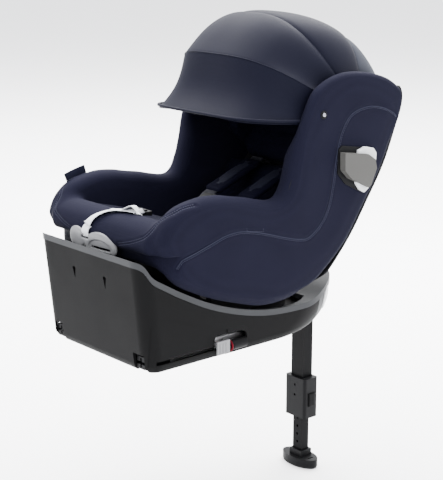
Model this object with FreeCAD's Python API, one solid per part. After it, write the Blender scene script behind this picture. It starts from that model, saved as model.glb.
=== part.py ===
import FreeCAD, Part
import math
import os

os.makedirs("parts", exist_ok=True)
V = FreeCAD.Vector

# ---------------------------------------------------------------- driving dimensions (mm)
# Working frame: X across the seat, -Y towards the child's feet, +Y towards the seat back,
# Z up from the underside of the base. AXIS_Y is where the turntable axis stands in this
# working frame; every piece is shifted by it when written, so the origin is the axis foot.
AXIS_Y = 20.0
HALF_W = 178.0            # half width of the base
WALL = 5.0                # base wall
PANEL_Y0 = -300.0         # outer face of the tall panel at the underside
PANEL_LEAN = 25.0 / 234.0 # outward lean of the panel per mm of height
PANEL_WALL = 7.0
RIM_H = 13.0              # depth of the rim trim
DECK_Z = 46.0             # underside of the inner deck
DECK_T = 4.0
DISC_R = 155.0            # turntable disc
DISC_Z = 58.0
DISC_T = 6.0
HUB_R = 40.0
RECLINE_Y, RECLINE_Z = 20.0, 385.0   # recline centre
RAIL_R = 298.0            # recline rails
SKID_R = 297.5            # skids of the seat chassis
ISOFIX_X = 140.0          # half of the 280 mm anchorage spacing
ISOFIX_Z = 18.0
BAR_R = 3.1               # jaw for a 6 mm anchor bar
LEG_Y, LEG_Z = 290.0, 21.5  # support leg hinge
SEAT_X = 205.0            # outer half width of the seat covers
SHELL_X0, SHELL_X1 = 190.0, 194.0
CUSHION_X = 149.5
CANOPY_A = 176.0          # half width of the canopy
CANOPY_Y, CANOPY_Z = 279.0, 451.0

# ---------------------------------------------------------------- helpers


def yz(points, x0, x1):
    w = Part.makePolygon([V(x0, p[0], p[1]) for p in points] + [V(x0, points[0][0], points[0][1])])
    return Part.Face(w).extrude(V(x1 - x0, 0, 0))


def yz_smooth(curves, x0, x1):
    """Closed outline in YZ made of splines through the given point lists, joined end to start."""
    edges = []
    n = len(curves)
    for i in range(n):
        pts = [V(x0, p[0], p[1]) for p in curves[i]]
        nxt = curves[(i + 1) % n][0]
        if len(pts) > 2:
            c = Part.BSplineCurve()
            c.interpolate(pts)
            edges.append(c.toShape())
        elif len(pts) == 2:
            edges.append(Part.LineSegment(pts[0], pts[1]).toShape())
        q = V(x0, nxt[0], nxt[1])
        if (pts[-1] - q).Length > 1e-6:
            edges.append(Part.LineSegment(pts[-1], q).toShape())
    return Part.Face(Part.Wire(edges)).extrude(V(x1 - x0, 0, 0))


def xy(points, z0, z1):
    w = Part.makePolygon([V(p[0], p[1], z0) for p in points] + [V(points[0][0], points[0][1], z0)])
    return Part.Face(w).extrude(V(0, 0, z1 - z0))


def box(x0, x1, y0, y1, z0, z1):
    return Part.makeBox(x1 - x0, y1 - y0, z1 - z0, V(x0, y0, z0))


def cyl(r, a, b):
    a, b = V(*a), V(*b)
    return Part.makeCylinder(r, (b - a).Length, a, b - a)


def fuse(*s):
    out = s[0]
    for t in s[1:]:
        out = out.fuse(t)
    return out.removeSplitter()


def cut(a, *b):
    for t in b:
        a = a.cut(t)
    return a


def mirror(s):
    return s.mirror(V(0, 0, 0), V(1, 0, 0))


def both(s):
    return [s, mirror(s)]


def save(name, *shapes):
    solids = []
    for s in shapes:
        solids += s.Solids
    assert solids, name
    for s in solids:
        assert s.isValid() and s.Volume > 0, name
    c = Part.makeCompound(solids) if len(solids) > 1 else solids[0]
    c = c.copy()
    c.translate(V(0, -AXIS_Y, 0))
    c.exportStep("parts/" + name + ".step")
    b = c.BoundBox
    print("%-22s %2d solids %9.1f cm3  x %.0f..%.0f y %.0f..%.0f z %.0f..%.0f" % (
        name, len(solids), sum(s.Volume for s in solids) / 1000, b.XMin, b.XMax, b.YMin, b.YMax, b.ZMin, b.ZMax))


# ---------------------------------------------------------------- base outline
def outline(z, off, centre, b):
    """Closed plan outline of the base at height z, grown outwards by off. The front follows the leaning panel."""
    w = HALF_W + off
    r = 32.0 + off
    cx, cy = HALF_W - 32.0, panel_y(z) + 32.0
    s = math.sqrt(0.5)
    e = [
        Part.Arc(V(cx, cy - r, z), V(cx + r * s, cy - r * s, z), V(w, cy, z)).toShape(),
        Part.LineSegment(V(w, cy, z), V(w, centre, z)).toShape(),
    ]
    n = 12
    pts = [V(w * math.cos(math.pi * k / n), centre + (b + off) * math.sin(math.pi * k / n), z) for k in range(n + 1)]
    c = Part.BSplineCurve()
    c.interpolate(Points=pts, InitialTangent=V(0, 1, 0), FinalTangent=V(0, -1, 0))
    e.append(c.toShape())
    e += [
        Part.LineSegment(V(-w, centre, z), V(-w, cy, z)).toShape(),
        Part.Arc(V(-w, cy, z), V(-cx - r * s, cy - r * s, z), V(-cx, cy - r, z)).toShape(),
        Part.LineSegment(V(-cx, cy - r, z), V(cx, cy - r, z)).toShape(),
    ]
    return Part.Wire(e)


SECTIONS = [(0.0, 40.0, 228.0), (14.0, 62.0, 217.0), (34.0, 92.0, 201.0), (60.0, 114.0, 185.0), (90.0, 122.0, 178.0)]


FOOT = [(0.0, 8.0), (2.0, 5.2), (5.0, 3.0), (9.0, 1.2), (14.0, 0.0)]    # soft bottom edge: height, inset


def foot_section(z):
    t = z / 14.0
    return 40.0 + 22.0 * t, 228.0 - 11.0 * t


def nose_loft(off, top):
    rings = []
    for z, inset in FOOT:
        c, b = foot_section(z)
        rings.append(outline(z, off - inset, c, b))
    foot = Part.makeLoft(rings, True, True)
    lower = Part.makeLoft([outline(z, off, c, b) for z, c, b in SECTIONS[1:]], True, False)
    z, c, b = SECTIONS[-1]
    upper = Part.makeLoft([outline(z, off, c, b), outline(top, off, c, b)], True, True)
    return foot.fuse(lower).fuse(upper)


def panel_y(z):
    return PANEL_Y0 - PANEL_LEAN * z


# height of the rim's upper edge along the base
RIM = [(-345, 236), (-325, 235), (-316, 231), (-306, 219), (-296, 204), (-270, 186), (-243, 170), (-204, 149), (-164, 129),
       (-123, 112), (-82, 98), (-46, 88), (-10, 80), (46, 72.5), (100, 70), (150, 72.5), (172, 78.5), (190, 85), (205, 90), (230, 95.5), (250, 98), (300, 104), (325, 108)]


def rim_z(y):
    for (y0, z0), (y1, z1) in zip(RIM, RIM[1:]):
        if y <= y1:
            return z0 + (z1 - z0) * (y - y0) / (y1 - y0)
    return RIM[-1][1]


def band(drop, below, x=200.0, shift=0.0):
    """Everything between the rim curve lowered by drop and the level or curve below it."""
    top = [(y, z - drop) for y, z in RIM]
    if below == "flat":
        low = [(325, -20), (-345, -20)]
        return yz_smooth([top, low], -x, x)
    low = [(y, z - below) for y, z in reversed(RIM)]
    return yz_smooth([top, low], -x, x)


lean_out = yz([(PANEL_Y0 - PANEL_LEAN * -30, -30), (panel_y(260), 260), (400, 260), (400, -30)], -220, 220)
lean_in = yz([(PANEL_Y0 + PANEL_WALL - PANEL_LEAN * -30, -30), (panel_y(260) + PANEL_WALL, 260), (400, 260), (400, -30)], -220, 220)

outer = nose_loft(0.0, 250.0)
inner = nose_loft(-WALL, 255.0)
inner = inner.fuse(Part.Face(outline(0.0, -WALL - 8.0, SECTIONS[0][1], SECTIONS[0][2])).extrude(V(0, 0, -5))).common(lean_in)
relief = outer.cut(nose_loft(-1.6, 250.0))
shell = outer.cut(inner).common(band(RIM_H, "flat"))

# teardrop vents in the tall panel
for x in (-155.0, -53.0, 53.0):
    drop = Part.makePolygon([V(x - 5, -345, 178), V(x, -345, 156), V(x + 5, -345, 178), V(x - 5, -345, 178)])
    shell = cut(shell, Part.Face(drop).extrude(V(0, 80 if abs(x) < 100 else 62, 0)), cyl(5.2, (x, -345, 178.2), (x, -265 if abs(x) < 100 else -283, 178.2)))

NOSE_N = V(0.848, 0.530, 0)          # outward direction of the rotation buttons
NOSE_C = V(149.5, 213.0, 58.0)


def nose_button(r_t, r_z, d0, d1, side):
    """Oval prism across the nose wall, from d0 to d1 along the outward direction."""
    e = Part.Ellipse(V(0, 0, 0), r_z, r_t)
    f = Part.Face(Part.Wire([e.toShape()])).extrude(V(0, 0, d1 - d0))
    f.translate(V(0, 0, d0))
    # local x (long axis) to +Z, local z to the outward direction
    n = V(NOSE_N.x * side, NOSE_N.y, 0)
    t = V(0, 0, 1).cross(n)
    m = FreeCAD.Matrix(0, t.x, n.x, NOSE_C.x * side, 0, t.y, n.y, NOSE_C.y, 1, t.z, n.z, NOSE_C.z, 0, 0, 0, 1)
    return f.transformGeometry(m)


for side in (1, -1):
    # opening for the anchorage connector at the panel foot
    shell = cut(shell, box(124 if side > 0 else -157, 157 if side > 0 else -124, -330, -284, -5, 38))
    # slot and pocket of the connector slider
    x0, x1 = (170, 190) if side > 0 else (-190, -170)
    shell = cut(shell, box(x0, x1, -283, -103, 17, 25))
    shell = cut(shell, yz([(-88, -5), (-88, 32), (-86, 39), (-80, 44), (-72, 47), (-62, 47), (-54, 44), (-48, 39), (-46, 32), (-46, -5)], x0, x1))
    # the pocket reaches forward over the finger button, which leaves room for a fingertip
    shell = cut(shell, yz([(-134, 17), (-134, 39), (-131, 44), (-125, 47), (-66, 47), (-66, 17)], x0, x1))
    # shallow relief on the side wall
    shell = cut(shell, yz([(-297, -5), (-297, 98), (-290, 107), (-276, 111), (-250, 109), (-184, 82), (-126, 63), (-100, 56), (-100, -5)],
                          140 if side > 0 else -200, 200 if side > 0 else -140).common(relief))
    # hole of the rotation button
    shell = cut(shell, nose_button(14.6, 27.6, -30, 30, side))
    # vent slot beside the leg
    shell = cut(shell, box(76 * side - 3, 76 * side + 3, 225, 300, 40, 50))
# room for the folded leg
shell = cut(shell, box(-30, 30, 240, 330, -5, 44), box(-73, 73, -145, 262, -5, 42))
# the nose end is a separate cap, one piece with the rim
nose_end = box(-220, 220, 178, 400, -20, 260)
cap = shell.common(nose_end)
shell = cut(shell, nose_end)
save("base_shell", shell)

# rim trim and nose deck in one piece
z, c, b = SECTIONS[-1]
rim = Part.makeLoft([outline(40.0, 1.5, c, b), outline(260.0, 1.5, c, b)], True, True)
hole = Part.makeLoft([outline(30.0, -7.0, c, b), outline(270.0, -7.0, c, b)], True, True).common(
    yz([(panel_y(0) + 8.0, 0), (panel_y(270) + 8.0, 270), (70, 270), (70, 0)], -220, 220))
rim = cut(rim, hole, Part.makeCylinder(171.5, 240, V(0, AXIS_Y, 30)), Part.makeBox(400, 90, 240, V(-200, 60, 30)).common(Part.makeCylinder(171.5, 240, V(0, 60, 30))))
rim = rim.common(band(0.0, RIM_H))
for side in (1, -1):
    rim = cut(rim, nose_button(14.6, 27.6, -30, 30, side))
save("base_rim", rim.fuse(cap))          # faces left unmerged: the shared seam is tangent

floor = Part.Face(outline(0.0, -14.6, 40.0, 222.0)).extrude(V(0, 0, 4))
floor = floor.common(box(-220, 220, PANEL_Y0 + PANEL_WALL + 0.5, 205, -5, 10))
floor = cut(floor, box(-73, 73, -145, 300, -5, 10))
for side in (1, -1):
    floor = cut(floor, box(min(150 * side, 190 * side), max(150 * side, 190 * side), -95, -39, -5, 10))
    floor = cut(floor, box(min(122 * side, 174 * side), max(122 * side, 174 * side), -320, -285, -5, 10))
save("base_floor", floor)

deck = Part.Face(outline(DECK_Z, -9.0, 92.0, 196.0)).extrude(V(0, 0, DECK_T))
deck = deck.common(box(-220, 220, panel_y(0) + 4, 255, DECK_Z - 5, DECK_Z + 30))
deck = fuse(deck, cut(Part.makeCylinder(137, 7, V(0, AXIS_Y, DECK_Z + DECK_T)), Part.makeCylinder(132, 9, V(0, AXIS_Y, DECK_Z + DECK_T - 1))))
deck = cut(deck, Part.makeCylinder(HUB_R + 0.05, 20, V(0, AXIS_Y, DECK_Z - 5)))
deck = cut(deck, box(-30, 30, 240, 300, 30, 70))
for side in (1, -1):
    deck = cut(deck, nose_button(15.2, 28.2, -30, 12, side))
save("base_deck", deck)

rollers = []
for k in range(12):
    a = math.radians(15 + 30 * k)
    d = V(math.cos(a), math.sin(a), 0)
    c0 = V(0, AXIS_Y, DECK_Z + DECK_T + 4.0) + d * 140.0
    rollers.append(Part.makeCylinder(3.9, 10, c0, d))
save("bearing_rollers", *rollers)

# turntable: disc, hub and four locking notches
disc = Part.makeCylinder(DISC_R, DISC_T, V(0, AXIS_Y, DISC_Z))
disc = fuse(disc, Part.makeCylinder(HUB_R, DISC_Z - DECK_Z + 0.3, V(0, AXIS_Y, DECK_Z - 0.3)))
disc = cut(disc, Part.makeCylinder(HUB_R - 5, 30, V(0, AXIS_Y, DECK_Z - 5)))
for k in range(4):
    a = math.radians(90 * k)
    n = box(-6.6, 6.6, 143, 160, DISC_Z - 2, DISC_Z + DISC_T + 2)
    n.rotate(V(0, 0, 0), V(0, 0, 1), math.degrees(a))
    n.translate(V(0, AXIS_Y, 0))
    disc = cut(disc, n)
# the disc and the retaining washer screwed to its hub
save("turntable_disc", disc, cut(Part.makeCylinder(48, 2.4, V(0, AXIS_Y, DECK_Z - 2.7)), Part.makeCylinder(34, 6, V(0, AXIS_Y, DECK_Z - 4))))

rail_cut = Part.makeCylinder(RAIL_R, 260, V(-130, RECLINE_Y, RECLINE_Z), V(1, 0, 0))
rails = both(cut(box(102, 118, -93, 133, DISC_Z + DISC_T, 135), rail_cut))
save("recline_rails", *rails)

# locking bolt of the turntable with its spring
# drawn released: the bolt stands 12 mm back from the notch
bolt = fuse(box(-6, 6, 176.5, 208, DISC_Z + 0.3, DISC_Z + DISC_T - 0.3), box(-12, 12, 198, 208, DISC_Z - 3, DISC_Z + DISC_T - 0.3))
save("lock_bolt", bolt)
guide = cut(fuse(box(-18, 18, 178, 232, DECK_Z + DECK_T, DISC_Z - 3.6), box(-18, -13, 178, 232, DECK_Z + DECK_T, DISC_Z + 4.5), box(13, 18, 178, 232, DECK_Z + DECK_T, DISC_Z + 4.5),
                 box(-18, 18, 226, 232, DECK_Z + DECK_T, DISC_Z + 4.5)))
save("lock_guide", guide)
spring = cut(cyl(4.6, (0, 209, DISC_Z + 2.5), (0, 225.5, DISC_Z + 2.5)), cyl(3.4, (0, 190, DISC_Z + 2.5), (0, 230, DISC_Z + 2.5)))
save("lock_spring", spring)

# rotation release buttons in the nose
limit = nose_loft(2.2, 120.0)
for side, name in ((1, "rotation_button_right"), (-1, "rotation_button_left")):
    b_ = nose_button(14.0, 27.0, -14, 20, side).common(limit)
    b_ = cut(b_, nose_button(8.0, 20.0, -20, -8, side))
    save(name, b_)

# ---------------------------------------------------------------- anchorage connectors
rails_ = []
for side in (1, -1):
    x0, x1 = (ISOFIX_X - 13.5, ISOFIX_X - 10.4)
    r = fuse(box(ISOFIX_X - 13.5, ISOFIX_X - 10.5, -218, 30, 4, 34), box(ISOFIX_X + 10.5, ISOFIX_X + 13.5, -90, 30, 4, 34),
             box(ISOFIX_X - 13.5, ISOFIX_X + 13.5, -90, 30, 29, 34), box(ISOFIX_X - 13.5, ISOFIX_X + 13.5, 24, 30, 4, 34))
    r = fuse(r, box(ISOFIX_X - 13.5, ISOFIX_X + 13.5, -218, -90, 29, 34), box(ISOFIX_X - 8, ISOFIX_X + 8, -60, 10, 34, DECK_Z))
    rails_.append(r if side > 0 else mirror(r))
save("isofix_rails", *rails_)


def arm():
    a = box(ISOFIX_X - 10, ISOFIX_X + 10, -232, -12, 8, 28)
    a = cut(a, box(ISOFIX_X - 7.5, ISOFIX_X + 7.5, -240, 0, 10.5, 25.5))
    return a


def connector():
    # plastic housing with an open jaw for the anchor bar, hook inside
    c_ = fuse(box(ISOFIX_X - 12.5, ISOFIX_X + 12.5, -296, -232, 5.5, 31), box(ISOFIX_X - 7, ISOFIX_X + 7, -232, -215, 11, 25))
    c_ = cut(c_, box(ISOFIX_X - 20, ISOFIX_X + 20, -300, -278, ISOFIX_Z - BAR_R, ISOFIX_Z + BAR_R), cyl(BAR_R, (ISOFIX_X - 20, -278, ISOFIX_Z), (ISOFIX_X + 20, -278, ISOFIX_Z)))
    c_ = cut(c_, box(ISOFIX_X - 2.6, ISOFIX_X + 2.6, -300, -262, 9, 28.2))
    return c_


def hook():
    h = box(ISOFIX_X - 2, ISOFIX_X + 2, -292, -263, 9.6, 27.6)
    h = cut(h, box(ISOFIX_X - 5, ISOFIX_X + 5, -300, -278, ISOFIX_Z - BAR_R, ISOFIX_Z + BAR_R), cyl(BAR_R, (ISOFIX_X - 5, -278, ISOFIX_Z), (ISOFIX_X + 5, -278, ISOFIX_Z)))
    return h


def slider():
    # finger button outside the wall on a neck that runs in the slot
    s = fuse(box(179.3, 183.3, -131, -98, 7, 35), box(152.6, 179.3, -122, -106, 18, 24))
    return cut(s, box(182.4, 184, -127, -124, 10, 32), box(182.4, 184, -119, -116, 10, 32), box(182.4, 184, -111, -108, 10, 32))


for side, tag in ((1, "right"), (-1, "left")):
    f = (lambda s: s) if side > 0 else mirror
    save("isofix_arm_" + tag, f(arm()))
    save("isofix_connector_" + tag, f(connector()), f(hook()))
    save("isofix_button_" + tag, f(slider()))
knob = cyl(11.5, (170.5, -88, 17), (170.5, -46, 17))
knob = cut(knob, cyl(12.5, (170.5, -84, 17), (170.5, -79, 17)).cut(cyl(9.5, (170.5, -90, 17), (170.5, -70, 17))))
ring = cut(cyl(12.0, (170.5, -84, 17), (170.5, -79, 17)), cyl(9.5, (170.5, -90, 17), (170.5, -70, 17)))
save("side_knobs", *(both(knob) + both(ring)))

# ---------------------------------------------------------------- support leg
bracket = []
for side in (1, -1):
    ck = fuse(box(22.6, 28, 258, 290, 8, 43), cyl(12, (22.6, LEG_Y, LEG_Z), (28, LEG_Y, LEG_Z)), box(22.6, 28, 268, 302, LEG_Z, 42))
    ck = cut(ck, cyl(5.0, (20, LEG_Y, LEG_Z), (30, LEG_Y, LEG_Z)))
    bracket.append(ck if side > 0 else mirror(ck))
bridge = fuse(box(-60, 60, 228, 261, 42.2, DECK_Z), box(-28, 28, 258, 264, 38.5, 43))
save("leg_bracket", fuse(bracket[0], bracket[1], bridge))
save("leg_hinge_pin", fuse(cyl(4.95, (-28, LEG_Y, LEG_Z), (28, LEG_Y, LEG_Z)), cyl(7, (28, LEG_Y, LEG_Z), (29.8, LEG_Y, LEG_Z)), cyl(7, (-29.8, LEG_Y, LEG_Z), (-28, LEG_Y, LEG_Z))))

tube = fuse(box(-20, 20, 275, 305, -276, LEG_Z), cyl(15, (-20, LEG_Y, LEG_Z), (20, LEG_Y, LEG_Z)))
tube = cut(tube, box(-17.5, 17.5, 277.5, 302.5, -280, 0), cyl(5.02, (-30, LEG_Y, LEG_Z), (30, LEG_Y, LEG_Z)))
save("leg_upper_tube", tube)
clamp = box(-34, 34, 268, 312, -285, -186)
clamp = clamp.makeFillet(7.0, [e for e in clamp.Edges if abs(e.Vertexes[0].Z - e.Vertexes[-1].Z) > 50])
clamp = cut(clamp, box(-20, 20, 275, 305, -276, -180), box(-16.2, 16.2, 277.3, 302.7, -290, -270))
for side in (1, -1):
    clamp = cut(clamp, box(min(20.6 * side, 40 * side), max(20.6 * side, 40 * side), 279.5, 300.5, -255, -222))
clamp = cut(clamp, cyl(3.0, (0, 260, -205), (0, 271.5, -205)), cyl(3.0, (0, 260, -230), (0, 271.5, -230)))
save("leg_clamp_housing", clamp)
btn = fuse(box(25, 38, 280, 300, -254.5, -222.5))
btn = btn.makeFillet(2.5, [e for e in btn.Edges if abs(e.CenterOfMass.x - 38) < 0.1])
save("leg_button_right", btn)
save("leg_button_left", mirror(btn))
low = box(-15, 15, 278.5, 301.5, -398, -100)
low = cut(low, box(-12.5, 12.5, 281, 299, -399, -99))
for z_ in (-292, -313, -333, -353):
    low = cut(low, cyl(3.2, (0, 270, z_), (0, 282, z_)))
save("leg_lower_tube", low)


def oval(rx, ry, z0, z1):
    e = Part.Ellipse(V(0, 0, z0), rx, ry)
    f = Part.Face(Part.Wire([e.toShape()])).extrude(V(0, 0, z1 - z0))
    f.translate(V(0, 289, 0))
    return f


foot = fuse(oval(53, 28, -406, -388), box(-20, 20, 273, 307, -390, -372))
foot = cut(foot, box(-15, 15, 278.5, 301.5, -398, -360), box(34, 38, 281, 297, -391, -380))
save("leg_foot", foot)
save("leg_foot_sole", oval(51, 26.5, -410, -406))

# ---------------------------------------------------------------- seat
# swept volume of the base rim as the seat turns; nothing on the seat enters it
ENV = [(160, -20), (160, 76), (180, 83), (186, 87), (205, 105), (256, 136), (318, 177), (330, 186), (330.5, 240), (420, 240), (420, -20)]
w = Part.makePolygon([V(r, AXIS_Y, z) for r, z in ENV] + [V(ENV[0][0], AXIS_Y, ENV[0][1])])
envelope = Part.Face(w).revolve(V(0, AXIS_Y, 0), V(0, 0, 1), 360)

S_TOP = [(-277, 244), (-278, 268), (-262, 303), (-235, 325), (-211, 336), (-176, 343), (-152, 344), (-122, 341), (-93, 335), (-54, 328),
         (-20, 319), (12, 313), (36, 318), (53, 342), (65, 382), (79, 430), (97, 475), (122, 522), (150, 543), (185, 556), (223, 561),
         (269, 558), (310, 550), (352, 534), (372, 517)]
S_BACK = [(372, 517), (379, 495), (363, 443), (327, 360), (272, 277), (227, 213), (199, 181), (156, 138), (125, 112)]
S_LOW = [(125, 112), (93, 97), (47, 92), (3, 92), (-42, 98), (-133, 127), (-220, 165), (-262, 205), (-277, 244)]
S = S_TOP + S_BACK[1:] + S_LOW[1:-1]
SHELL = [(-232, 196), (-236, 262), (-225, 306), (-200, 322), (-152, 331), (-93, 322), (-32, 307), (14, 301), (48, 318), (76, 385), (90, 428),
         (112, 474), (135, 514), (170, 536), (223, 548), (269, 545), (310, 537), (345, 522), (360, 506), (362, 492), (349, 443), (315, 364), (261, 284),
         (216, 221), (188, 189), (145, 147), (104, 118), (47, 108), (3, 108), (-42, 114), (-130, 143), (-215, 182)]
PAN = [(-226, 255.5), (-180, 251.5), (-120, 230.5), (-60, 208.5), (0, 185.5), (50, 167.5), (105, 152), (128, 158), (355.1, 495)]
PAN_B = [(359.1, 492.2), (131, 153), (106, 146.5), (49, 162), (-1, 180), (-61, 203), (-121, 225), (-181, 246), (-226, 250)]

wall_r = yz(SHELL, SHELL_X0, SHELL_X1)
seat_shell = fuse(wall_r, mirror(wall_r), yz(PAN + PAN_B, -SHELL_X0, SHELL_X0), yz([(-232, 205), (-226, 205), (-226, 255.5), (-232, 262)], -SHELL_X0, SHELL_X0))
seat_shell = cut(seat_shell, envelope)
for side in (1, -1):   # belt slots through the back plate
    seat_shell = cut(seat_shell, box(55 * side - 22, 55 * side + 22, 215, 250, 311, 327))
save("seat_shell", seat_shell)

skid_out = Part.makeCylinder(SKID_R, 260, V(-130, RECLINE_Y, RECLINE_Z), V(1, 0, 0))
arc_out = Part.makeCylinder(293.5, 260, V(-130, RECLINE_Y, RECLINE_Z), V(1, 0, 0))
arc_in = Part.makeCylinder(289.0, 260, V(-130, RECLINE_Y, RECLINE_Z), V(1, 0, 0))
under = [(-110, 220.5), (-61, 202.3), (-1, 179.3), (49, 161.3), (106, 145.8), (118, 147.5), (118, 60), (-110, 60)]
body_ = yz(under, -124, 124).common(arc_out)
room = cut(yz([(-105, 230), (-61, 212), (-1, 189), (49, 171), (106, 155), (113, 155), (113, 60), (-105, 60)], -119, 119).common(arc_in), box(-4, 4, -130, 140, 60, 240))
body_ = cut(body_, room)
skids = fuse(box(102.4, 117.6, -100, 112, 60, 140).common(skid_out).cut(arc_in))
body_ = fuse(body_, skids, mirror(skids))
save("seat_chassis", cut(body_, envelope))

back_path = [(134, 101), (177, 130), (221, 173), (249, 205), (295, 270), (350, 354), (387, 438), (403, 490), (400, 508), (392, 518)]
back_in = [(389, 515.4), (396.2, 506.4), (398.8, 490), (383, 439.5), (346.3, 356), (291.6, 272.3), (246, 207.6), (218.3, 175.8), (174.6, 133.2), (132, 104.6)]
panel_back = cut(yz_smooth([back_path, back_in], -189.5, 189.5), envelope)
for side in (1, -1):   # clear of the recline rails over the whole travel
    panel_back = cut(panel_back, cut(box(min(98 * side, 122 * side), max(98 * side, 122 * side), 20, 260, 60, 200), Part.makeCylinder(295.5, 260, V(-130, RECLINE_Y, RECLINE_Z), V(1, 0, 0))))
save("back_panel", panel_back)


def side_cover():
    slab = yz_smooth([S_TOP, S_BACK, S_LOW], SHELL_X1 + 0.3, SEAT_X)
    crest = cut(yz_smooth([S_TOP, S_BACK, S_LOW], SHELL_X0 - 0.4, SHELL_X1 + 0.3), yz(SHELL, SHELL_X0 - 0.5, SHELL_X1 + 0.4))
    crest = crest.common(yz([(-290, 239), (-290, 600), (400, 600), (400, 510), (80, 300), (-200, 300)], 180, 200))
    bol = S_TOP[:16] + [(307, 430), (127.4, 158.8), (105, 152.6), (50, 168.1), (0, 186.1), (-60, 209.1), (-120, 231.1), (-180, 252.1), (-225.4, 256.1), (-232.4, 262.6), (-238, 262.6), (-240, 243)]
    bolster = yz(bol, 150.0, SHELL_X0 - 0.4)
    win = S_TOP[15:24] + [(360, 513), (303.9, 430)]
    lining = yz([(79, 430)] + S_TOP[16:24] + [(359, 509), (306, 430)], 181.0, SHELL_X0 - 0.4)
    c_ = fuse(slab, crest, bolster, lining)
    raised = envelope.copy()
    raised.translate(V(0, 0, 0.8))
    return cut(c_, envelope, raised)


sc = side_cover()
save("side_cover_right", sc)
save("side_cover_left", mirror(sc))

front = [(-238.6, 200), (-262, 208), (-270, 239), (-293, 244), (-298, 262), (-290, 284), (-272, 299), (-250, 303), (-231, 300), (-224, 290.5), (-224, 263), (-238.6, 263)]
save("front_cover", cut(yz(front, -CUSHION_X, CUSHION_X), envelope))

cush = [(-223.4, 289), (-180, 283), (-120, 262), (-60, 240), (0, 217), (50, 200), (84, 190), (108, 160), (105, 152.5), (50, 168), (0, 186), (-60, 209), (-120, 231), (-180, 252), (-223.4, 256)]
cushion = yz(cush, -CUSHION_X, CUSHION_X)
cushion = cut(cushion, box(-24, 24, -208, -170, 274, 300), box(-20, 20, -26, -18, 180, 260))
save("seat_cushion", cushion)

U = (0.559, 0.829)     # up along the backrest
N = (0.829, -0.559)    # into the backrest


def tb(t, o):
    return (90 + U[0] * t + N[0] * o, 185 + U[1] * t + N[1] * o)


back = [tb(4, 0), tb(100, -3), tb(186, 0), tb(186, 44), tb(16, 44.5)]
save("back_cushion", yz([p for p in back] + [(110, 162)], -CUSHION_X, CUSHION_X))

# headrest, slides up along the backrest
hs = yz([tb(203, 37.3), tb(420, 37.3), tb(420, 43), tb(203, 43)], -112, 112)
hs = fuse(hs, yz([tb(420, 28), tb(426, 28), tb(426, 43), tb(420, 43)], -40, 40))
save("headrest_shell", hs)
hp = yz([tb(203, 4), tb(215, -2), tb(410, -4), tb(418, 4), tb(418, 37), tb(203, 37)], -110, 110)
wing = yz([tb(222, 37), tb(222, -30), tb(250, -66), tb(380, -66), tb(405, -40), tb(405, 37)], 110, 145)
save("headrest_pad", fuse(hp, wing, mirror(wing)))
save("headrest_lever", fuse(yz([tb(427.5, 30), tb(437, 30), tb(437, 41), tb(427.5, 41)], -32, 32)))

# harness
mid = [(185, 341), (52, 287)]


def slanted(p, q, x0, x1, t0, t1):
    """Slab from p to q in YZ, offset from t0 to t1 above the line."""
    dy, dz = q[0] - p[0], q[1] - p[1]
    L = math.hypot(dy, dz)
    ny, nz = -dz / L, dy / L
    if nz < 0:
        ny, nz = -ny, -nz
    return yz([(p[0] + ny * t0, p[1] + nz * t0), (q[0] + ny * t0, q[1] + nz * t0), (q[0] + ny * t1, q[1] + nz * t1), (p[0] + ny * t1, p[1] + nz * t1)], x0, x1)


bx0, bx1 = 36, 74
belt = fuse(slanted((230, 324.5), (194.5, 347.5), bx0, bx1, -1, 1), slanted((196, 345.3), (46, 284.5), bx0, bx1, -1, 1))
save("shoulder_belts", *both(belt))
pad = cut(slanted((184, 340.4), (56, 288.6), 29, 81, -7, 7), slanted((200, 346.9), (40, 282.1), 34.5, 75.5, -1.8, 1.8))
save("shoulder_pads", *both(pad))
lap = Part.makeLoft([Part.makePolygon([V(149.4, y, z) for y, z in ((66, 232), (92, 216), (90.8, 214), (64.8, 230), (66, 232))]),
                     Part.makePolygon([V(63, y, z) for y, z in ((6, 262), (32, 262), (32, 260), (6, 260), (6, 262))])], True, True)
save("lap_belts", *both(lap))
buckle = slanted((36, 281), (-18, 256), -24, 24, -9, 9)
buckle = cut(buckle, slanted((10, 269), (-10, 259.7), -11, 11, 3.5, 12))
# the buckle with its two belt tongues
tongue = slanted((44, 284.7), (8, 268.1), 24.3, 62, -1.2, 1.2)
save("harness_buckle", buckle, tongue, mirror(tongue))
save("buckle_button", slanted((9.5, 268.7), (-9.5, 259.9), -10.5, 10.5, 7.2, 11))
save("crotch_belt", slanted((-19.2, 246), (-22.2, 200), -18, 18, -1, 1))
cp = cut(slanted((-19.6, 243), (-21.6, 214.5), -26, 26, -8, 8), slanted((-18.5, 255), (-23, 190), -19.5, 19.5, -1.8, 1.8))
cp = cut(cp, yz([(-60, 245), (60, 200), (60, 150), (-60, 150)], -40, 40))
save("crotch_pad", cp)
adj = cut(box(-22, 22, -206, -172, 275.5, 290), box(-15, 15, -194, -178, 283, 300))
save("adjuster_housing", adj)
save("adjuster_button", box(-14.5, 14.5, -193.5, -178.5, 287.2, 293))
strap_out = [(-203, 292.5), (-232, 303.4), (-251, 305.8), (-273, 301.7), (-292, 285.5), (-300.2, 262), (-295.4, 243), (-293.7, 243.5), (-298.5, 262), (-290.5, 284.4), (-272.2, 300), (-251, 304), (-232, 301.6), (-205.8, 291)]
save("adjuster_strap", yz(strap_out, -38, -11))

# pull handle at the front edge: a leaning loop on a blade
handle = fuse(box(-80, 46, -4, 4, 0, 46), box(-45, 11, -4, 4, -18, 2))
handle = handle.makeFillet(3.0, [e for e in handle.Edges if e.Length > 40 and abs(e.CenterOfMass.z - 46) < 0.1])
handle = cut(handle, box(-64, 30, -10, 10, 13, 34))
handle.rotate(V(0, 0, 0), V(1, 0, 0), 19.0)
handle.translate(V(0, -293.5, 221))
save("recline_handle", cut(handle, envelope))

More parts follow.
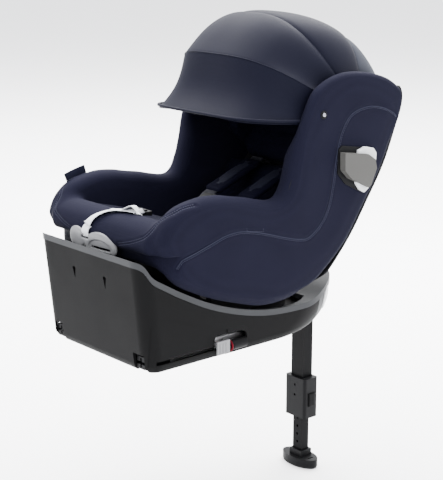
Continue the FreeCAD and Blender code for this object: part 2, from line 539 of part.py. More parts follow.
# side guards
GUARD = [(190, 396), (262, 385), (286, 370), (292, 356)]
PIN_A, PIN_B = (292, 356), (270, 311)
pin_d = V(0, PIN_A[0] - PIN_B[0], PIN_A[1] - PIN_B[1])
pin_d.normalize()
PIN_X = 213.0
flap_pts = [(190, 396), (262, 385), (284, 371), (289.4, 350.7), (272.6, 316.3), (266, 311), (212, 337), (191, 357)]
base_pts = [(186, 402), (196, 409), (262, 398), (296, 377), (299, 356), (287, 316), (272, 298), (262, 298), (208, 324), (184, 350)]
axis_p = V(PIN_X, 281, 333.5)
flap = fuse(yz(flap_pts, 208.6, 224), Part.makeCylinder(4.3, 32, axis_p - pin_d * 16, pin_d))
flap = cut(flap, Part.makeCylinder(2.55, 90, axis_p - pin_d * 45, pin_d))
ears = [Part.makeCylinder(4.6, 5, axis_p + pin_d * 17.5, pin_d), Part.makeCylinder(4.6, 5, axis_p - pin_d * 22.5, pin_d)]
ear_room = [Part.makeCylinder(6.5, 6.4, axis_p + pin_d * 16.8, pin_d), Part.makeCylinder(6.5, 6.4, axis_p - pin_d * 23.2, pin_d)]
flap = cut(flap, ear_room[0], ear_room[1])
gb = yz(base_pts, 205.4, 208.3)
for e in ears:
    gb = fuse(gb, cut(e, Part.makeCylinder(2.5, 90, axis_p - pin_d * 45, pin_d)))
pin = Part.makeCylinder(2.5, 45, axis_p - pin_d * 22.5, pin_d)
save("side_guard_bases", *both(gb))
save("side_guard_pins", *both(pin))
big = max(flap.Solids, key=lambda s: s.Volume)
save("side_guard_flap_right", big)
save("side_guard_flap_left", mirror(big))

# ---------------------------------------------------------------- canopy
E = (CANOPY_Y, CANOPY_Z)


# apex in YZ, half width of the upper part, squareness of the arch
ARCH = {"brim": ((-41.0, 481.0), 178.0, 5.4), "front": ((14.0, 600.0), 178.0, 3.42), "rear": ((136.0, 678.0), 159.0, 2.77),
        "crown": ((307.0, 629.0), 145.0, 4.4), "back": ((372.0, 550.0), 148.0, 4.0)}
INSET = {"brim": 4.4, "front": 9.0, "rear": 13.6}     # the bows stack side by side on their pins


def arch(key, inset, foot):
    """Spline over one bow in its plane, between the two feet, and its right foot point."""
    m, a, e = ARCH[key]
    dy, dz = m[0] - E[0], m[1] - E[1]
    full = math.hypot(dy, dz)
    R = full - inset
    u = (dy / full, dz / full)
    wide = CANOPY_A + 2 - a

    def x_at(v):
        q = min(1.0, max(0.0, v / R))
        return (a - inset) * (1 - q ** e) ** (1 / e) + wide * (1 - q * q * (3 - 2 * q))

    def p(x, v):
        return V(x, E[0] + u[0] * v, E[1] + u[1] * v)
    vs = [foot, foot + 30] + [R * math.sin(math.radians(k)) ** (2 / e) for k in (16, 26, 36, 46, 56, 66, 76)]
    vs = [v for i, v in enumerate(vs) if i < 2 or v > foot + 42]
    half = [p(x_at(v), v) for v in vs]
    pts = half + [p(0, R)] + [p(-q.x, 0) + V(0, q.y - E[0], q.z - E[1]) for q in reversed(half)]
    c = Part.BSplineCurve()
    c.interpolate(Points=pts)
    return c.toShape(), half[0], pts[-1]


def closed(key, inset, foot):
    c, a, b = arch(key, inset, foot)
    return Part.Wire([c, Part.LineSegment(b, a).toShape()])


def gore(k0, k1):
    """Thin shell between two bows."""
    o = Part.makeLoft([closed(k0, 0.0, 24.0), closed(k1, 0.0, 24.0)], True, True)
    i = Part.makeLoft([closed(k0, 1.6, 10.0), closed(k1, 1.6, 10.0)], True, True)
    return o.cut(i)


parts_ = [gore("brim", "front"), gore("front", "rear"), gore("rear", "crown"), gore("crown", "back")]
fabric = parts_[0]
for g in parts_[1:]:
    fabric = fabric.fuse(g)
fabric = cut(fabric, box(-230, 230, 345, 520, 380, 541))
save("canopy_fabric", fabric)


def rod(key):
    """Round bar along the bow, in short straight lengths."""
    c, a, b = arch(key, INSET[key], 0.0)
    n = 40
    rings = []
    for k in range(n + 1):
        t = c.FirstParameter + (c.LastParameter - c.FirstParameter) * k / n
        rings.append(Part.Wire([Part.Circle(c.valueAt(t), c.tangentAt(t), 2.0).toShape()]))
    return Part.makeLoft(rings, True, True)


for key, name in (("brim", "canopy_bow_brim"), ("front", "canopy_bow_front"), ("rear", "canopy_bow_rear")):
    x = CANOPY_A + 2 - INSET[key]
    b_ = rod(key)
    for side in (1, -1):
        b_ = b_.fuse(cyl(6.5, (side * (x - 2), E[0], E[1]), (side * (x + 2), E[0], E[1])))
    for side in (1, -1):
        b_ = b_.cut(cyl(3.05, (side * (x - 4), E[0], E[1]), (side * (x + 4), E[0], E[1])))
    save(name, b_)
pivot = fuse(cyl(3.0, (160.5, E[0], E[1]), (178.4, E[0], E[1])), cyl(11, (178.4, E[0], E[1]), (180.9, E[0], E[1])), cyl(5.5, (158.5, E[0], E[1]), (160.5, E[0], E[1])))
save("canopy_pins", *both(pivot))
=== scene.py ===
import math
import bpy
import numpy as np
from mathutils import Matrix, Vector


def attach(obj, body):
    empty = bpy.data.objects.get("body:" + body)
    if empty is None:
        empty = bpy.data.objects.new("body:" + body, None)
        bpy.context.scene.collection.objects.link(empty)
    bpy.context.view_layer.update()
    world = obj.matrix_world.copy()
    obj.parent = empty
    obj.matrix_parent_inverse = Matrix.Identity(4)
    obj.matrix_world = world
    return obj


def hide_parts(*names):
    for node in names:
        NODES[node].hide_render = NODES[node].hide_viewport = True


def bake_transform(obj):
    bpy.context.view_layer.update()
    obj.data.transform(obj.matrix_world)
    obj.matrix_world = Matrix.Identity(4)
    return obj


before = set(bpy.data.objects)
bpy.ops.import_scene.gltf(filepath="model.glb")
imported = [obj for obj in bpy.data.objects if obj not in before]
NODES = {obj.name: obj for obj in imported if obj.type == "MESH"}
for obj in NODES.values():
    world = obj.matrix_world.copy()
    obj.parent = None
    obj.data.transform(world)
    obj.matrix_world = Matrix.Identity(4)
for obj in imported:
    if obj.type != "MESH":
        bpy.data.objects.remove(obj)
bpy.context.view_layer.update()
scene = bpy.context.scene
RNG = np.random.default_rng(7)


# ------------------------------------------------------------------ helpers
def R(p):
    """Layout millimetres to row-frame metres."""
    p = np.asarray(p, float)
    return (p - np.array([0.0, 20.0, 0.0])) / 1000.0


def sst(x):
    x = np.clip(x, 0, 1)
    return x * x * (3 - 2 * x)


def catmull(pts, closed=True, sub=6):
    p = np.asarray(pts, float)
    n = len(p)
    out = []
    last = n if closed else n - 1
    for i in range(last):
        if closed:
            a, b, c, d = p[(i - 1) % n], p[i], p[(i + 1) % n], p[(i + 2) % n]
        else:
            a, b, c, d = p[max(i - 1, 0)], p[i], p[i + 1], p[min(i + 2, n - 1)]
        for k in range(sub):
            t = k / sub
            out.append(0.5 * ((2 * b) + (c - a) * t + (2 * a - 5 * b + 4 * c - d) * t * t + (3 * b - a - 3 * c + d) * t ** 3))
    if not closed:
        out.append(p[-1])
    return np.array(out)


def resample(pts, step):
    p = np.asarray(pts, float)
    s = np.r_[0, np.cumsum(np.linalg.norm(np.diff(p, axis=0), axis=1))]
    n = max(2, int(round(s[-1] / step)) + 1)
    t = np.linspace(0, s[-1], n)
    return np.stack([np.interp(t, s, p[:, i]) for i in range(p.shape[1])], 1)


class Poly:
    """Signed distance to a closed outline in the YZ plane, kept on a grid."""

    def __init__(self, pts, h=2.0, pad=40.0):
        pts = np.asarray(pts, float)
        self.lo = pts.min(0) - pad
        hi = pts.max(0) + pad
        self.h = h
        ny, nz = (np.ceil((hi - self.lo) / h)).astype(int) + 1
        Y, Z = np.meshgrid(self.lo[0] + h * np.arange(ny), self.lo[1] + h * np.arange(nz), indexing="ij")
        d2 = np.full(Y.shape, 1e12)
        ins = np.zeros(Y.shape, bool)
        for a, b in zip(pts, np.roll(pts, -1, 0)):
            e = b - a
            L = max(e @ e, 1e-9)
            t = np.clip(((Y - a[0]) * e[0] + (Z - a[1]) * e[1]) / L, 0, 1)
            d2 = np.minimum(d2, (Y - a[0] - t * e[0]) ** 2 + (Z - a[1] - t * e[1]) ** 2)
            if (a[1] > b[1]) != (b[1] > a[1]) or a[1] != b[1]:
                c = (a[1] > Z) != (b[1] > Z)
                xi = a[0] + (Z - a[1]) * e[0] / (e[1] if abs(e[1]) > 1e-9 else 1e-9)
                ins ^= c & (Y < xi)
        d = np.sqrt(d2)
        self.g = np.where(ins, -d, d)

    def __call__(self, y, z):
        g = self.g
        u = np.clip((y - self.lo[0]) / self.h, 0, g.shape[0] - 1.001)
        v = np.clip((z - self.lo[1]) / self.h, 0, g.shape[1] - 1.001)
        i, j = u.astype(int), v.astype(int)
        a, b = u - i, v - j
        return (g[i, j] * (1 - a) * (1 - b) + g[i + 1, j] * a * (1 - b) + g[i, j + 1] * (1 - a) * b + g[i + 1, j + 1] * a * b)


def smin(a, b, k):
    h = np.clip(0.5 + 0.5 * (b - a) / k, 0, 1)
    return b * (1 - h) + a * h - k * h * (1 - h)


def smax(a, b, k):
    return -smin(-a, -b, k)


def rounded(q1, q2, r):
    q1, q2 = q1 + r, q2 + r
    return np.minimum(np.maximum(q1, q2), 0) + np.hypot(np.maximum(q1, 0), np.maximum(q2, 0)) - r


def gradient(f, P, e=0.6):
    G = np.empty_like(P)
    for i in range(3):
        d = np.zeros(3)
        d[i] = e
        G[:, i] = (f(P + d) - f(P - d)) / (2 * e)
    return G


def onto(f, P, n=3, keep=None):
    P = np.array(P, float)
    for _ in range(n):
        g = gradient(f, P)
        if keep is not None:
            g[:, keep] = 0
        d = f(P)
        P = P - g * (d / np.maximum((g * g).sum(1), 0.05))[:, None]
    return P


def normals_of(f, P):
    g = gradient(f, P)
    return g / np.maximum(np.linalg.norm(g, axis=1), 1e-6)[:, None]


EDGES = [((0, 0, 0), (1, 0, 0)), ((0, 1, 0), (1, 1, 0)), ((0, 0, 1), (1, 0, 1)), ((0, 1, 1), (1, 1, 1)),
         ((0, 0, 0), (0, 1, 0)), ((1, 0, 0), (1, 1, 0)), ((0, 0, 1), (0, 1, 1)), ((1, 0, 1), (1, 1, 1)),
         ((0, 0, 0), (0, 0, 1)), ((1, 0, 0), (1, 0, 1)), ((0, 1, 0), (0, 1, 1)), ((1, 1, 0), (1, 1, 1))]


def nets(f, lo, hi, h):
    """Quad mesh of the zero surface of f in a box, by surface nets, then drawn onto f."""
    lo, hi = np.asarray(lo, float), np.asarray(hi, float)
    n = np.ceil((hi - lo) / h).astype(int) + 1
    ax = [lo[i] + h * np.arange(n[i]) for i in range(3)]
    D = np.empty(tuple(n), np.float32)
    YY, ZZ = np.meshgrid(ax[1], ax[2], indexing="ij")
    yz = np.stack([YY.ravel(), ZZ.ravel()], 1)
    for i, x in enumerate(ax[0]):
        D[i] = f(np.c_[np.full(len(yz), x), yz]).reshape(YY.shape)
    s = D < 0
    nx, ny, nz = D.shape
    c = np.zeros((nx - 1, ny - 1, nz - 1), np.int8)
    for a in (0, 1):
        for b in (0, 1):
            for d in (0, 1):
                c += s[a:nx - 1 + a, b:ny - 1 + b, d:nz - 1 + d]
    mixed = (c > 0) & (c < 8)
    cells = np.argwhere(mixed)
    idx = np.full(mixed.shape, -1, np.int64)
    idx[mixed] = np.arange(len(cells))
    P = np.zeros((len(cells), 3))
    w = np.zeros(len(cells))
    for a, b in EDGES:
        da = D[cells[:, 0] + a[0], cells[:, 1] + a[1], cells[:, 2] + a[2]]
        db = D[cells[:, 0] + b[0], cells[:, 1] + b[1], cells[:, 2] + b[2]]
        m = (da < 0) != (db < 0)
        t = np.where(m, da / np.where(m, da - db, 1), 0)
        P[m] += np.array(a) + t[m, None] * (np.array(b) - np.array(a))
        w[m] += 1
    P = (P / w[:, None] + cells) * h + lo
    faces = []
    for axis in range(3):
        o1, o2 = [(1, 2), (2, 0), (0, 1)][axis]
        sl0 = [slice(None)] * 3
        sl1 = [slice(None)] * 3
        sl0[axis], sl1[axis] = slice(0, -1), slice(1, None)
        ch = s[tuple(sl0)] != s[tuple(sl1)]
        e = np.argwhere(ch)
        ok = (e[:, o1] > 0) & (e[:, o2] > 0) & (e[:, o1] < D.shape[o1] - 1) & (e[:, o2] < D.shape[o2] - 1)
        e = e[ok]
        q = []
        for u, v in ((-1, -1), (0, -1), (0, 0), (-1, 0)):
            k = e.copy()
            k[:, o1] += u
            k[:, o2] += v
            q.append(idx[k[:, 0], k[:, 1], k[:, 2]])
        q = np.stack(q, 1)
        flip = ~s[e[:, 0], e[:, 1], e[:, 2]]
        q[flip] = q[flip][:, ::-1]
        faces.append(q)
    F = np.concatenate(faces)
    F = F[(F >= 0).all(1)]
    P = onto(f, P, 2)
    return P, F


def mesh(name, P, F, mat, body=None, row=True, smooth=True):
    """P in layout millimetres unless row is False."""
    P = R(P) if row else np.asarray(P, float)
    me = bpy.data.meshes.new(name)
    if isinstance(F, np.ndarray):
        k = F.shape[1]
        me.vertices.add(len(P))
        me.vertices.foreach_set("co", P.astype(np.float32).ravel())
        me.loops.add(F.size)
        me.loops.foreach_set("vertex_index", F.astype(np.int32).ravel())
        me.polygons.add(len(F))
        me.polygons.foreach_set("loop_start", (np.arange(len(F)) * k).astype(np.int32))
        me.update(calc_edges=True)
        me.validate()
    else:
        me.from_pydata([tuple(p) for p in P], [], [tuple(f) for f in F])
        me.update()
    o = bpy.data.objects.new(name, me)
    scene.collection.objects.link(o)
    me.materials.append(mat)
    for p in me.polygons:
        p.use_smooth = smooth
    if body:
        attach(o, body)
    return o


def verts(o):
    a = np.empty(len(o.data.vertices) * 3)
    o.data.vertices.foreach_get("co", a)
    return a.reshape(-1, 3)


def frames_along(p, up):
    t = np.gradient(p, axis=0)
    t /= np.maximum(np.linalg.norm(t, axis=1), 1e-9)[:, None]
    up = np.broadcast_to(np.asarray(up, float), p.shape).copy()
    side = np.cross(t, up)
    side /= np.maximum(np.linalg.norm(side, axis=1), 1e-9)[:, None]
    n = np.cross(side, t)
    return t, side, n


def sweep(name, path, section, mat, body, up=(0, 0, 1), closed=False, ends=True, scale=None):
    """Sweeps a section (list of (side, normal) offsets in mm) along a path in layout mm."""
    p = np.asarray(path, float)
    t, s, n = frames_along(p, up)
    sec = np.asarray(section, float)
    k = len(sec)
    sc = np.ones(len(p)) if scale is None else np.asarray(scale, float)
    V = (p[:, None] + sc[:, None, None] * (sec[None, :, 0:1] * s[:, None] + sec[None, :, 1:2] * n[:, None])).reshape(-1, 3)
    F = []
    m = len(p)
    for i in range(m if closed else m - 1):
        for j in range(k):
            a, b = i * k + j, i * k + (j + 1) % k
            c, d = ((i + 1) % m) * k + (j + 1) % k, ((i + 1) % m) * k + j
            F.append((a, d, c, b))
    if not closed and ends:
        F.append(tuple(range(k)))
        F.append(tuple((m - 1) * k + j for j in reversed(range(k))))
    return mesh(name, V, F, mat, body)


def circle(r, n=8):
    a = np.linspace(0, 2 * math.pi, n, endpoint=False)
    return np.c_[np.cos(a), np.sin(a)] * r


def flat_section(w, t, n=9, crown=0.0):
    """Webbing section: w wide, t thick, with soft edges."""
    x = np.linspace(-1, 1, n)
    top = np.c_[x * w / 2, t / 2 * (1 - np.abs(x) ** 8 * 0.6) + crown * (1 - x * x)]
    bot = np.c_[x[::-1] * w / 2, -t / 2 * (1 - np.abs(x[::-1]) ** 8 * 0.6) + crown * (1 - x[::-1] ** 2)]
    return np.r_[top, bot]


def stitches(name, P, Nn, mat, body, length=3.2, gap=1.9, r=0.42, lift=0.25):
    """Rows of single thread stitches lying along lines: P is a list of (points, normals)."""
    V, F = [], []
    base = np.array([(-1, -0.55, 0), (-0.72, -1, 0.9), (-0.72, 1, 0.9), (-1, 0.55, 0), (1, -0.55, 0), (0.72, -1, 0.9), (0.72, 1, 0.9), (1, 0.55, 0)], float)
    quads = [(0, 1, 2, 3), (1, 5, 6, 2), (5, 4, 7, 6), (0, 4, 5, 1), (3, 2, 6, 7)]
    for pts, nn in zip(P, Nn):
        s = np.r_[0, np.cumsum(np.linalg.norm(np.diff(pts, axis=0), axis=1))]
        c = np.arange(length, s[-1] - length, length + gap)
        for q in c:
            a = np.array([np.interp(q - length / 2, s, pts[:, i]) for i in range(3)])
            b = np.array([np.interp(q + length / 2, s, pts[:, i]) for i in range(3)])
            m = np.array([np.interp(q, s, nn[:, i]) for i in range(3)])
            t = b - a
            L = np.linalg.norm(t)
            t /= max(L, 1e-6)
            m -= t * (m @ t)
            m /= max(np.linalg.norm(m), 1e-6)
            w = np.cross(t, m)
            o = (a + b) / 2 + m * (lift - r * 0.5)
            k = len(V)
            for v in base:
                V.append(o + t * v[0] * L / 2 + w * v[1] * r + m * v[2] * r * 1.6)
            F += [tuple(k + i for i in q2) for q2 in quads]
    return mesh(name, np.array(V), F, mat, body, smooth=True)


def puff(o, pressure=4.0, cap=0.008, frames=20, pins=None, shrink=0.0, stiff=12.0):
    """Cloth simulation under inner pressure; the result becomes the mesh. pins are 0..1 per vertex."""
    base = verts(o)
    if pins is not None:
        g = o.vertex_groups.new(name="pin")
        for v in np.nonzero(pins > 0.02)[0]:
            g.add([int(v)], float(min(1, pins[v])), "REPLACE")
    md = o.modifiers.new("Cloth", "CLOTH")
    st = md.settings
    st.quality = 5
    st.mass = 0.3
    st.tension_stiffness = stiff
    st.compression_stiffness = stiff
    st.shear_stiffness = 5
    st.bending_stiffness = 0.6
    st.use_pressure = True
    st.uniform_pressure_force = pressure
    st.shrink_min = shrink
    st.effector_weights.gravity = 0
    if pins is not None:
        st.vertex_group_mass = "pin"
        st.pin_stiffness = 1
    md.collision_settings.use_collision = False
    md.point_cache.frame_start = 1
    md.point_cache.frame_end = frames
    for k in range(1, frames + 1):
        scene.frame_set(k)
    e = o.evaluated_get(bpy.context.evaluated_depsgraph_get())
    a = np.empty(len(e.data.vertices) * 3)
    e.data.vertices.foreach_get("co", a)
    a = a.reshape(-1, 3)
    d = a - base
    L = np.linalg.norm(d, axis=1)
    d *= (np.minimum(L, cap) / np.maximum(L, 1e-9))[:, None]
    o.modifiers.remove(md)
    o.vertex_groups.clear()
    o.data.vertices.foreach_set("co", (base + d).astype(np.float32).ravel())
    o.data.update()
    scene.frame_set(1)
    return o


def subsurf(o, levels=1):
    m = o.modifiers.new("Subdivision", "SUBSURF")
    m.levels = m.render_levels = levels
    return o


def bevel(node, width=0.0012, segs=2, angle=35):
    o = NODES[node]
    m = o.modifiers.new("Bevel", "BEVEL")
    m.width = width
    m.segments = segs
    m.limit_method = "ANGLE"
    m.angle_limit = math.radians(angle)
    m.harden_normals = False
    for p in o.data.polygons:
        p.use_smooth = True
    return o


# ------------------------------------------------------------------ materials
def node(nt, kind, **kw):
    n = nt.nodes.new(kind)
    for k, v in kw.items():
        setattr(n, k, v)
    return n


def start_mat(name):
    m = bpy.data.materials.new(name)
    m.use_nodes = True
    nt = m.node_tree
    nt.nodes.clear()
    out = node(nt, "ShaderNodeOutputMaterial")
    b = node(nt, "ShaderNodeBsdfPrincipled")
    nt.links.new(b.outputs[0], out.inputs[0])
    tc = node(nt, "ShaderNodeTexCoord")
    return m, nt, b, tc.outputs["Object"]


def noise(nt, co, scale, detail=3.0, rough=0.5):
    n = node(nt, "ShaderNodeTexNoise")
    n.inputs["Scale"].default_value = scale
    n.inputs["Detail"].default_value = detail
    n.inputs["Roughness"].default_value = rough
    nt.links.new(co, n.inputs["Vector"])
    return n.outputs[0]


def math_(nt, op, a, b=None, c=None):
    n = node(nt, "ShaderNodeMath", operation=op)
    for i, v in enumerate((a, b, c)):
        if v is None:
            continue
        if isinstance(v, (int, float)):
            n.inputs[i].default_value = v
        else:
            nt.links.new(v, n.inputs[i])
    return n.outputs[0]


def mix(nt, fac, a, b):
    n = node(nt, "ShaderNodeMix", data_type="RGBA")
    nt.links.new(fac, n.inputs[0])
    ia, ib = [i for i in n.inputs if i.type == "RGBA"][:2]
    for s, v in ((ia, a), (ib, b)):
        if isinstance(v, tuple):
            s.default_value = (*v, 1)
        else:
            nt.links.new(v, s)
    return [o for o in n.outputs if o.type == "RGBA"][0]


def bump(nt, b, height, strength, distance):
    n = node(nt, "ShaderNodeBump")
    n.inputs["Strength"].default_value = strength
    n.inputs["Distance"].default_value = distance
    nt.links.new(height, n.inputs["Height"])
    nt.links.new(n.outputs[0], b.inputs["Normal"])


def lattice(nt, co, pitch):
    """Knit-like lattice: waves along the three axes multiplied in pairs."""
    w = []
    for d in "XYZ":
        n = node(nt, "ShaderNodeTexWave", bands_direction=d)
        n.inputs["Scale"].default_value = 0.31416 / pitch
        n.inputs["Distortion"].default_value = 0.6
        n.inputs["Detail"].default_value = 1.0
        n.inputs["Detail Scale"].default_value = 2.0
        nt.links.new(co, n.inputs["Vector"])
        w.append(n.outputs["Fac"] if "Fac" in n.outputs else n.outputs[1])
    s = math_(nt, "ADD", math_(nt, "MULTIPLY", w[0], w[1]), math_(nt, "MULTIPLY", w[1], w[2]))
    return math_(nt, "MULTIPLY", math_(nt, "ADD", s, math_(nt, "MULTIPLY", w[0], w[2])), 0.5)


def sh(c, k):
    return tuple(min(1.0, v * k) for v in c)


def fabric(name, color, rough=0.88, sheen=0.03, sheen_tint=(0.55, 0.58, 0.75), pitch=0.0021, weave=0.35, dist=0.0006, lo=0.72, hi=1.3, mottle=0.10):
    m, nt, b, co = start_mat(name)
    lat = lattice(nt, co, pitch)
    fine = noise(nt, co, 1400, 2)
    soft = noise(nt, co, 22, 4)
    f = math_(nt, "ADD", math_(nt, "MULTIPLY", lat, 0.5), math_(nt, "MULTIPLY", fine, 0.5))
    c1 = mix(nt, f, sh(color, lo), sh(color, hi))
    c2 = mix(nt, soft, sh(color, 1 - mottle * 2), sh(color, 1 + mottle * 2))
    n = node(nt, "ShaderNodeMix", data_type="RGBA")
    n.inputs[0].default_value = 0.35
    ia, ib = [i for i in n.inputs if i.type == "RGBA"][:2]
    nt.links.new(c1, ia)
    nt.links.new(c2, ib)
    nt.links.new([o for o in n.outputs if o.type == "RGBA"][0], b.inputs["Base Color"])
    b.inputs["Roughness"].default_value = rough
    b.inputs["Specular IOR Level"].default_value = 0.05
    b.inputs["Sheen Weight"].default_value = sheen
    b.inputs["Sheen Roughness"].default_value = 0.45
    b.inputs["Sheen Tint"].default_value = (*sheen_tint, 1)
    bump(nt, b, math_(nt, "ADD", lat, math_(nt, "MULTIPLY", fine, 0.6)), weave, dist)
    return m


def webbing(name, color, pitch=0.0016, rough=0.7, weave=0.5):
    m, nt, b, co = start_mat(name)
    mp = node(nt, "ShaderNodeMapping")
    mp.inputs["Rotation"].default_value = (0.6, 0.5, 0.785)
    nt.links.new(co, mp.inputs["Vector"])
    lat = lattice(nt, mp.outputs[0], pitch)
    fine = noise(nt, co, 1800, 2)
    soft = noise(nt, co, 30, 4)
    f = math_(nt, "ADD", math_(nt, "MULTIPLY", lat, 0.6), math_(nt, "MULTIPLY", soft, 0.4))
    nt.links.new(mix(nt, f, sh(color, 0.8), sh(color, 1.15)), b.inputs["Base Color"])
    b.inputs["Roughness"].default_value = rough
    b.inputs["Specular IOR Level"].default_value = 0.12
    b.inputs["Sheen Weight"].default_value = 0.04
    bump(nt, b, math_(nt, "ADD", lat, math_(nt, "MULTIPLY", fine, 0.4)), weave, 0.0004)
    return m


def plastic(name, color, rough=0.5, grain=2600, strength=0.06, coat=0.0, spec=0.045, var=0.07):
    m, nt, b, co = start_mat(name)
    fine = noise(nt, co, grain, 3)
    soft = noise(nt, co, 14, 5, 0.6)
    scuff = noise(nt, co, 160, 4, 0.7)
    nt.links.new(mix(nt, soft, sh(color, 1 - var), sh(color, 1 + var)), b.inputs["Base Color"])
    r = math_(nt, "ADD", math_(nt, "MULTIPLY", soft, 0.14), math_(nt, "MULTIPLY", scuff, 0.10))
    nt.links.new(math_(nt, "ADD", r, rough - 0.12), b.inputs["Roughness"])
    b.inputs["Specular IOR Level"].default_value = spec
    b.inputs["Coat Weight"].default_value = coat
    b.inputs["Coat Roughness"].default_value = 0.25
    bump(nt, b, fine, strength, 0.0004)
    return m


def metal(name, color, rough=0.35, stretch=(1, 1, 14), grain=700):
    m, nt, b, co = start_mat(name)
    mp = node(nt, "ShaderNodeMapping")
    mp.inputs["Scale"].default_value = stretch
    nt.links.new(co, mp.inputs["Vector"])
    g = noise(nt, mp.outputs[0], grain, 3)
    s = noise(nt, co, 20, 4)
    nt.links.new(mix(nt, s, sh(color, 0.9), sh(color, 1.08)), b.inputs["Base Color"])
    b.inputs["Metallic"].default_value = 1.0
    nt.links.new(math_(nt, "ADD", math_(nt, "MULTIPLY", g, 0.15), rough - 0.07), b.inputs["Roughness"])
    bump(nt, b, g, 0.05, 0.0002)
    return m


MT = {
    "base": plastic("mat_base_plastic", (0.0040, 0.0040, 0.0042), 0.56, 2200, 0.10, spec=0.03),
    "rim": plastic("mat_rim_plastic", (0.029, 0.030, 0.032), 0.42, 2600, 0.06),
    "inner": plastic("mat_inner_plastic", (0.009, 0.009, 0.010), 0.6, 2200, 0.10),
    "black": plastic("mat_black_plastic", (0.005, 0.005, 0.0055), 0.42, 2400, 0.08),
    "pale": plastic("mat_pale_plastic", (0.46, 0.46, 0.47), 0.42, 2600, 0.05),
    "guardpad": plastic("mat_guard_pad", (0.52, 0.53, 0.54), 0.5, 2600, 0.05),
    "button": plastic("mat_button_plastic", (0.17, 0.17, 0.175), 0.42, 2600, 0.05),
    "guard": plastic("mat_guard_plastic", (0.060, 0.059, 0.056), 0.5, 2400, 0.08),
    "handle": plastic("mat_handle_plastic", (0.13, 0.131, 0.136), 0.36, 3000, 0.04, spec=0.35),
    "red": plastic("mat_red_plastic", (0.085, 0.002, 0.007), 0.35, 2600, 0.04),
    "steel": metal("mat_steel", (0.45, 0.45, 0.46), 0.35),
    "leg": plastic("mat_leg_paint", (0.0020, 0.0020, 0.0023), 0.42, 1500, 0.12, coat=0.0, spec=0.03),
    "rubber": plastic("mat_rubber", (0.008, 0.008, 0.0085), 0.8, 900, 0.25, spec=0.3),
    "navy": fabric("mat_navy_fabric", (0.0044, 0.0044, 0.0108), sheen=0.005),
    "liner": fabric("mat_liner_fabric", (0.0018, 0.0019, 0.0066), sheen=0.0, pitch=0.0026, weave=0.5, dist=0.0009),
    "canopy": fabric("mat_canopy_fabric", (0.0031, 0.0033, 0.0083), rough=0.62, sheen=0.005, pitch=0.0016, weave=0.18, dist=0.0004, lo=0.85, hi=1.15, mottle=0.05),
    "canopy_back": fabric("mat_canopy_back", (0.024, 0.026, 0.034), rough=0.7, sheen=0.01, pitch=0.0016, weave=0.2, dist=0.0004, lo=0.85, hi=1.15, mottle=0.05),
    "piping": fabric("mat_piping", (0.015, 0.016, 0.028), rough=0.7, sheen=0.01, pitch=0.0014, weave=0.2, dist=0.0003),
    "thread": webbing("mat_thread", (0.030, 0.032, 0.055), 0.0011, 0.6, 0.3),
    "web": webbing("mat_webbing", (0.0045, 0.0048, 0.009)),
    "strap": webbing("mat_strap_webbing", (0.55, 0.56, 0.585), 0.0016, 0.6, 0.35),
    "tag": fabric("mat_tag", (0.0052, 0.0056, 0.0125), sheen=0.01, pitch=0.0012, weave=0.2),
    "padband": fabric("mat_pad_band", (0.0085, 0.009, 0.016), rough=0.55, sheen=0.01, pitch=0.0012, weave=0.2),
    "bow": plastic("mat_bow_paint", (0.0050, 0.0052, 0.0080), 0.5, 1800, 0.10),
    "snap": metal("mat_snap", (0.30, 0.30, 0.34), 0.28, (1, 1, 1), 900),
}
CAD_MAT = {}
for k, names in {
    "base": ["base_shell", "leg_button_right", "leg_button_left"],
    "rim": ["base_rim"],
    "inner": ["base_floor", "base_deck", "lock_guide", "turntable_disc", "recline_rails", "seat_shell", "seat_chassis", "back_panel", "headrest_shell", "headrest_lever", "canopy_pins"],
    # side_guard_bases get the black plastic as painted shade: the black stands in for the shadow gap beside the guard
    # flaps
    "black": ["side_knobs", "isofix_connector_right", "isofix_connector_left", "leg_clamp_housing", "leg_foot", "harness_buckle", "adjuster_housing", "adjuster_button", "side_guard_bases"],
    "pale": ["rotation_button_right", "rotation_button_left"],
    "button": ["isofix_button_right", "isofix_button_left"],
    "guard": ["side_guard_flap_right", "side_guard_flap_left"],
    "handle": ["recline_handle"],
    "red": ["buckle_button"],
    "steel": ["bearing_rollers", "lock_spring", "lock_bolt", "isofix_rails", "isofix_arm_right", "isofix_arm_left", "leg_bracket", "leg_hinge_pin", "side_guard_pins"],
    "bow": ["canopy_bow_brim", "canopy_bow_front", "canopy_bow_rear"],
    "leg": ["leg_upper_tube", "leg_lower_tube"],
    "rubber": ["leg_foot_sole"],
    "web": ["shoulder_belts", "lap_belts", "crotch_belt"],
    "strap": ["adjuster_strap"],
    "liner": ["seat_cushion", "back_cushion", "headrest_pad", "shoulder_pads", "crotch_pad"],
    "navy": ["side_cover_right", "side_cover_left", "front_cover"],
    "canopy": ["canopy_fabric"],
}.items():
    for n_ in names:
        CAD_MAT[n_] = k
for n_, o in NODES.items():
    o.data.materials.clear()
    o.data.materials.append(MT[CAD_MAT[n_]])
for n_ in ("base_shell", "base_rim"):
    bevel(n_, 0.0016, 3, 40)
for n_ in ("leg_clamp_housing", "leg_foot", "leg_upper_tube", "leg_lower_tube", "isofix_connector_right", "isofix_connector_left", "harness_buckle", "adjuster_housing",
           "side_guard_flap_right", "side_guard_flap_left", "side_guard_bases", "back_panel", "seat_chassis", "recline_rails", "base_floor", "headrest_shell", "headrest_lever",
           "isofix_button_right", "isofix_button_left", "side_knobs", "leg_button_right", "leg_button_left", "seat_shell", "leg_bracket", "adjuster_button", "buckle_button"):
    bevel(n_, 0.0010, 2, 40)


def tag_slot(o):
    return o


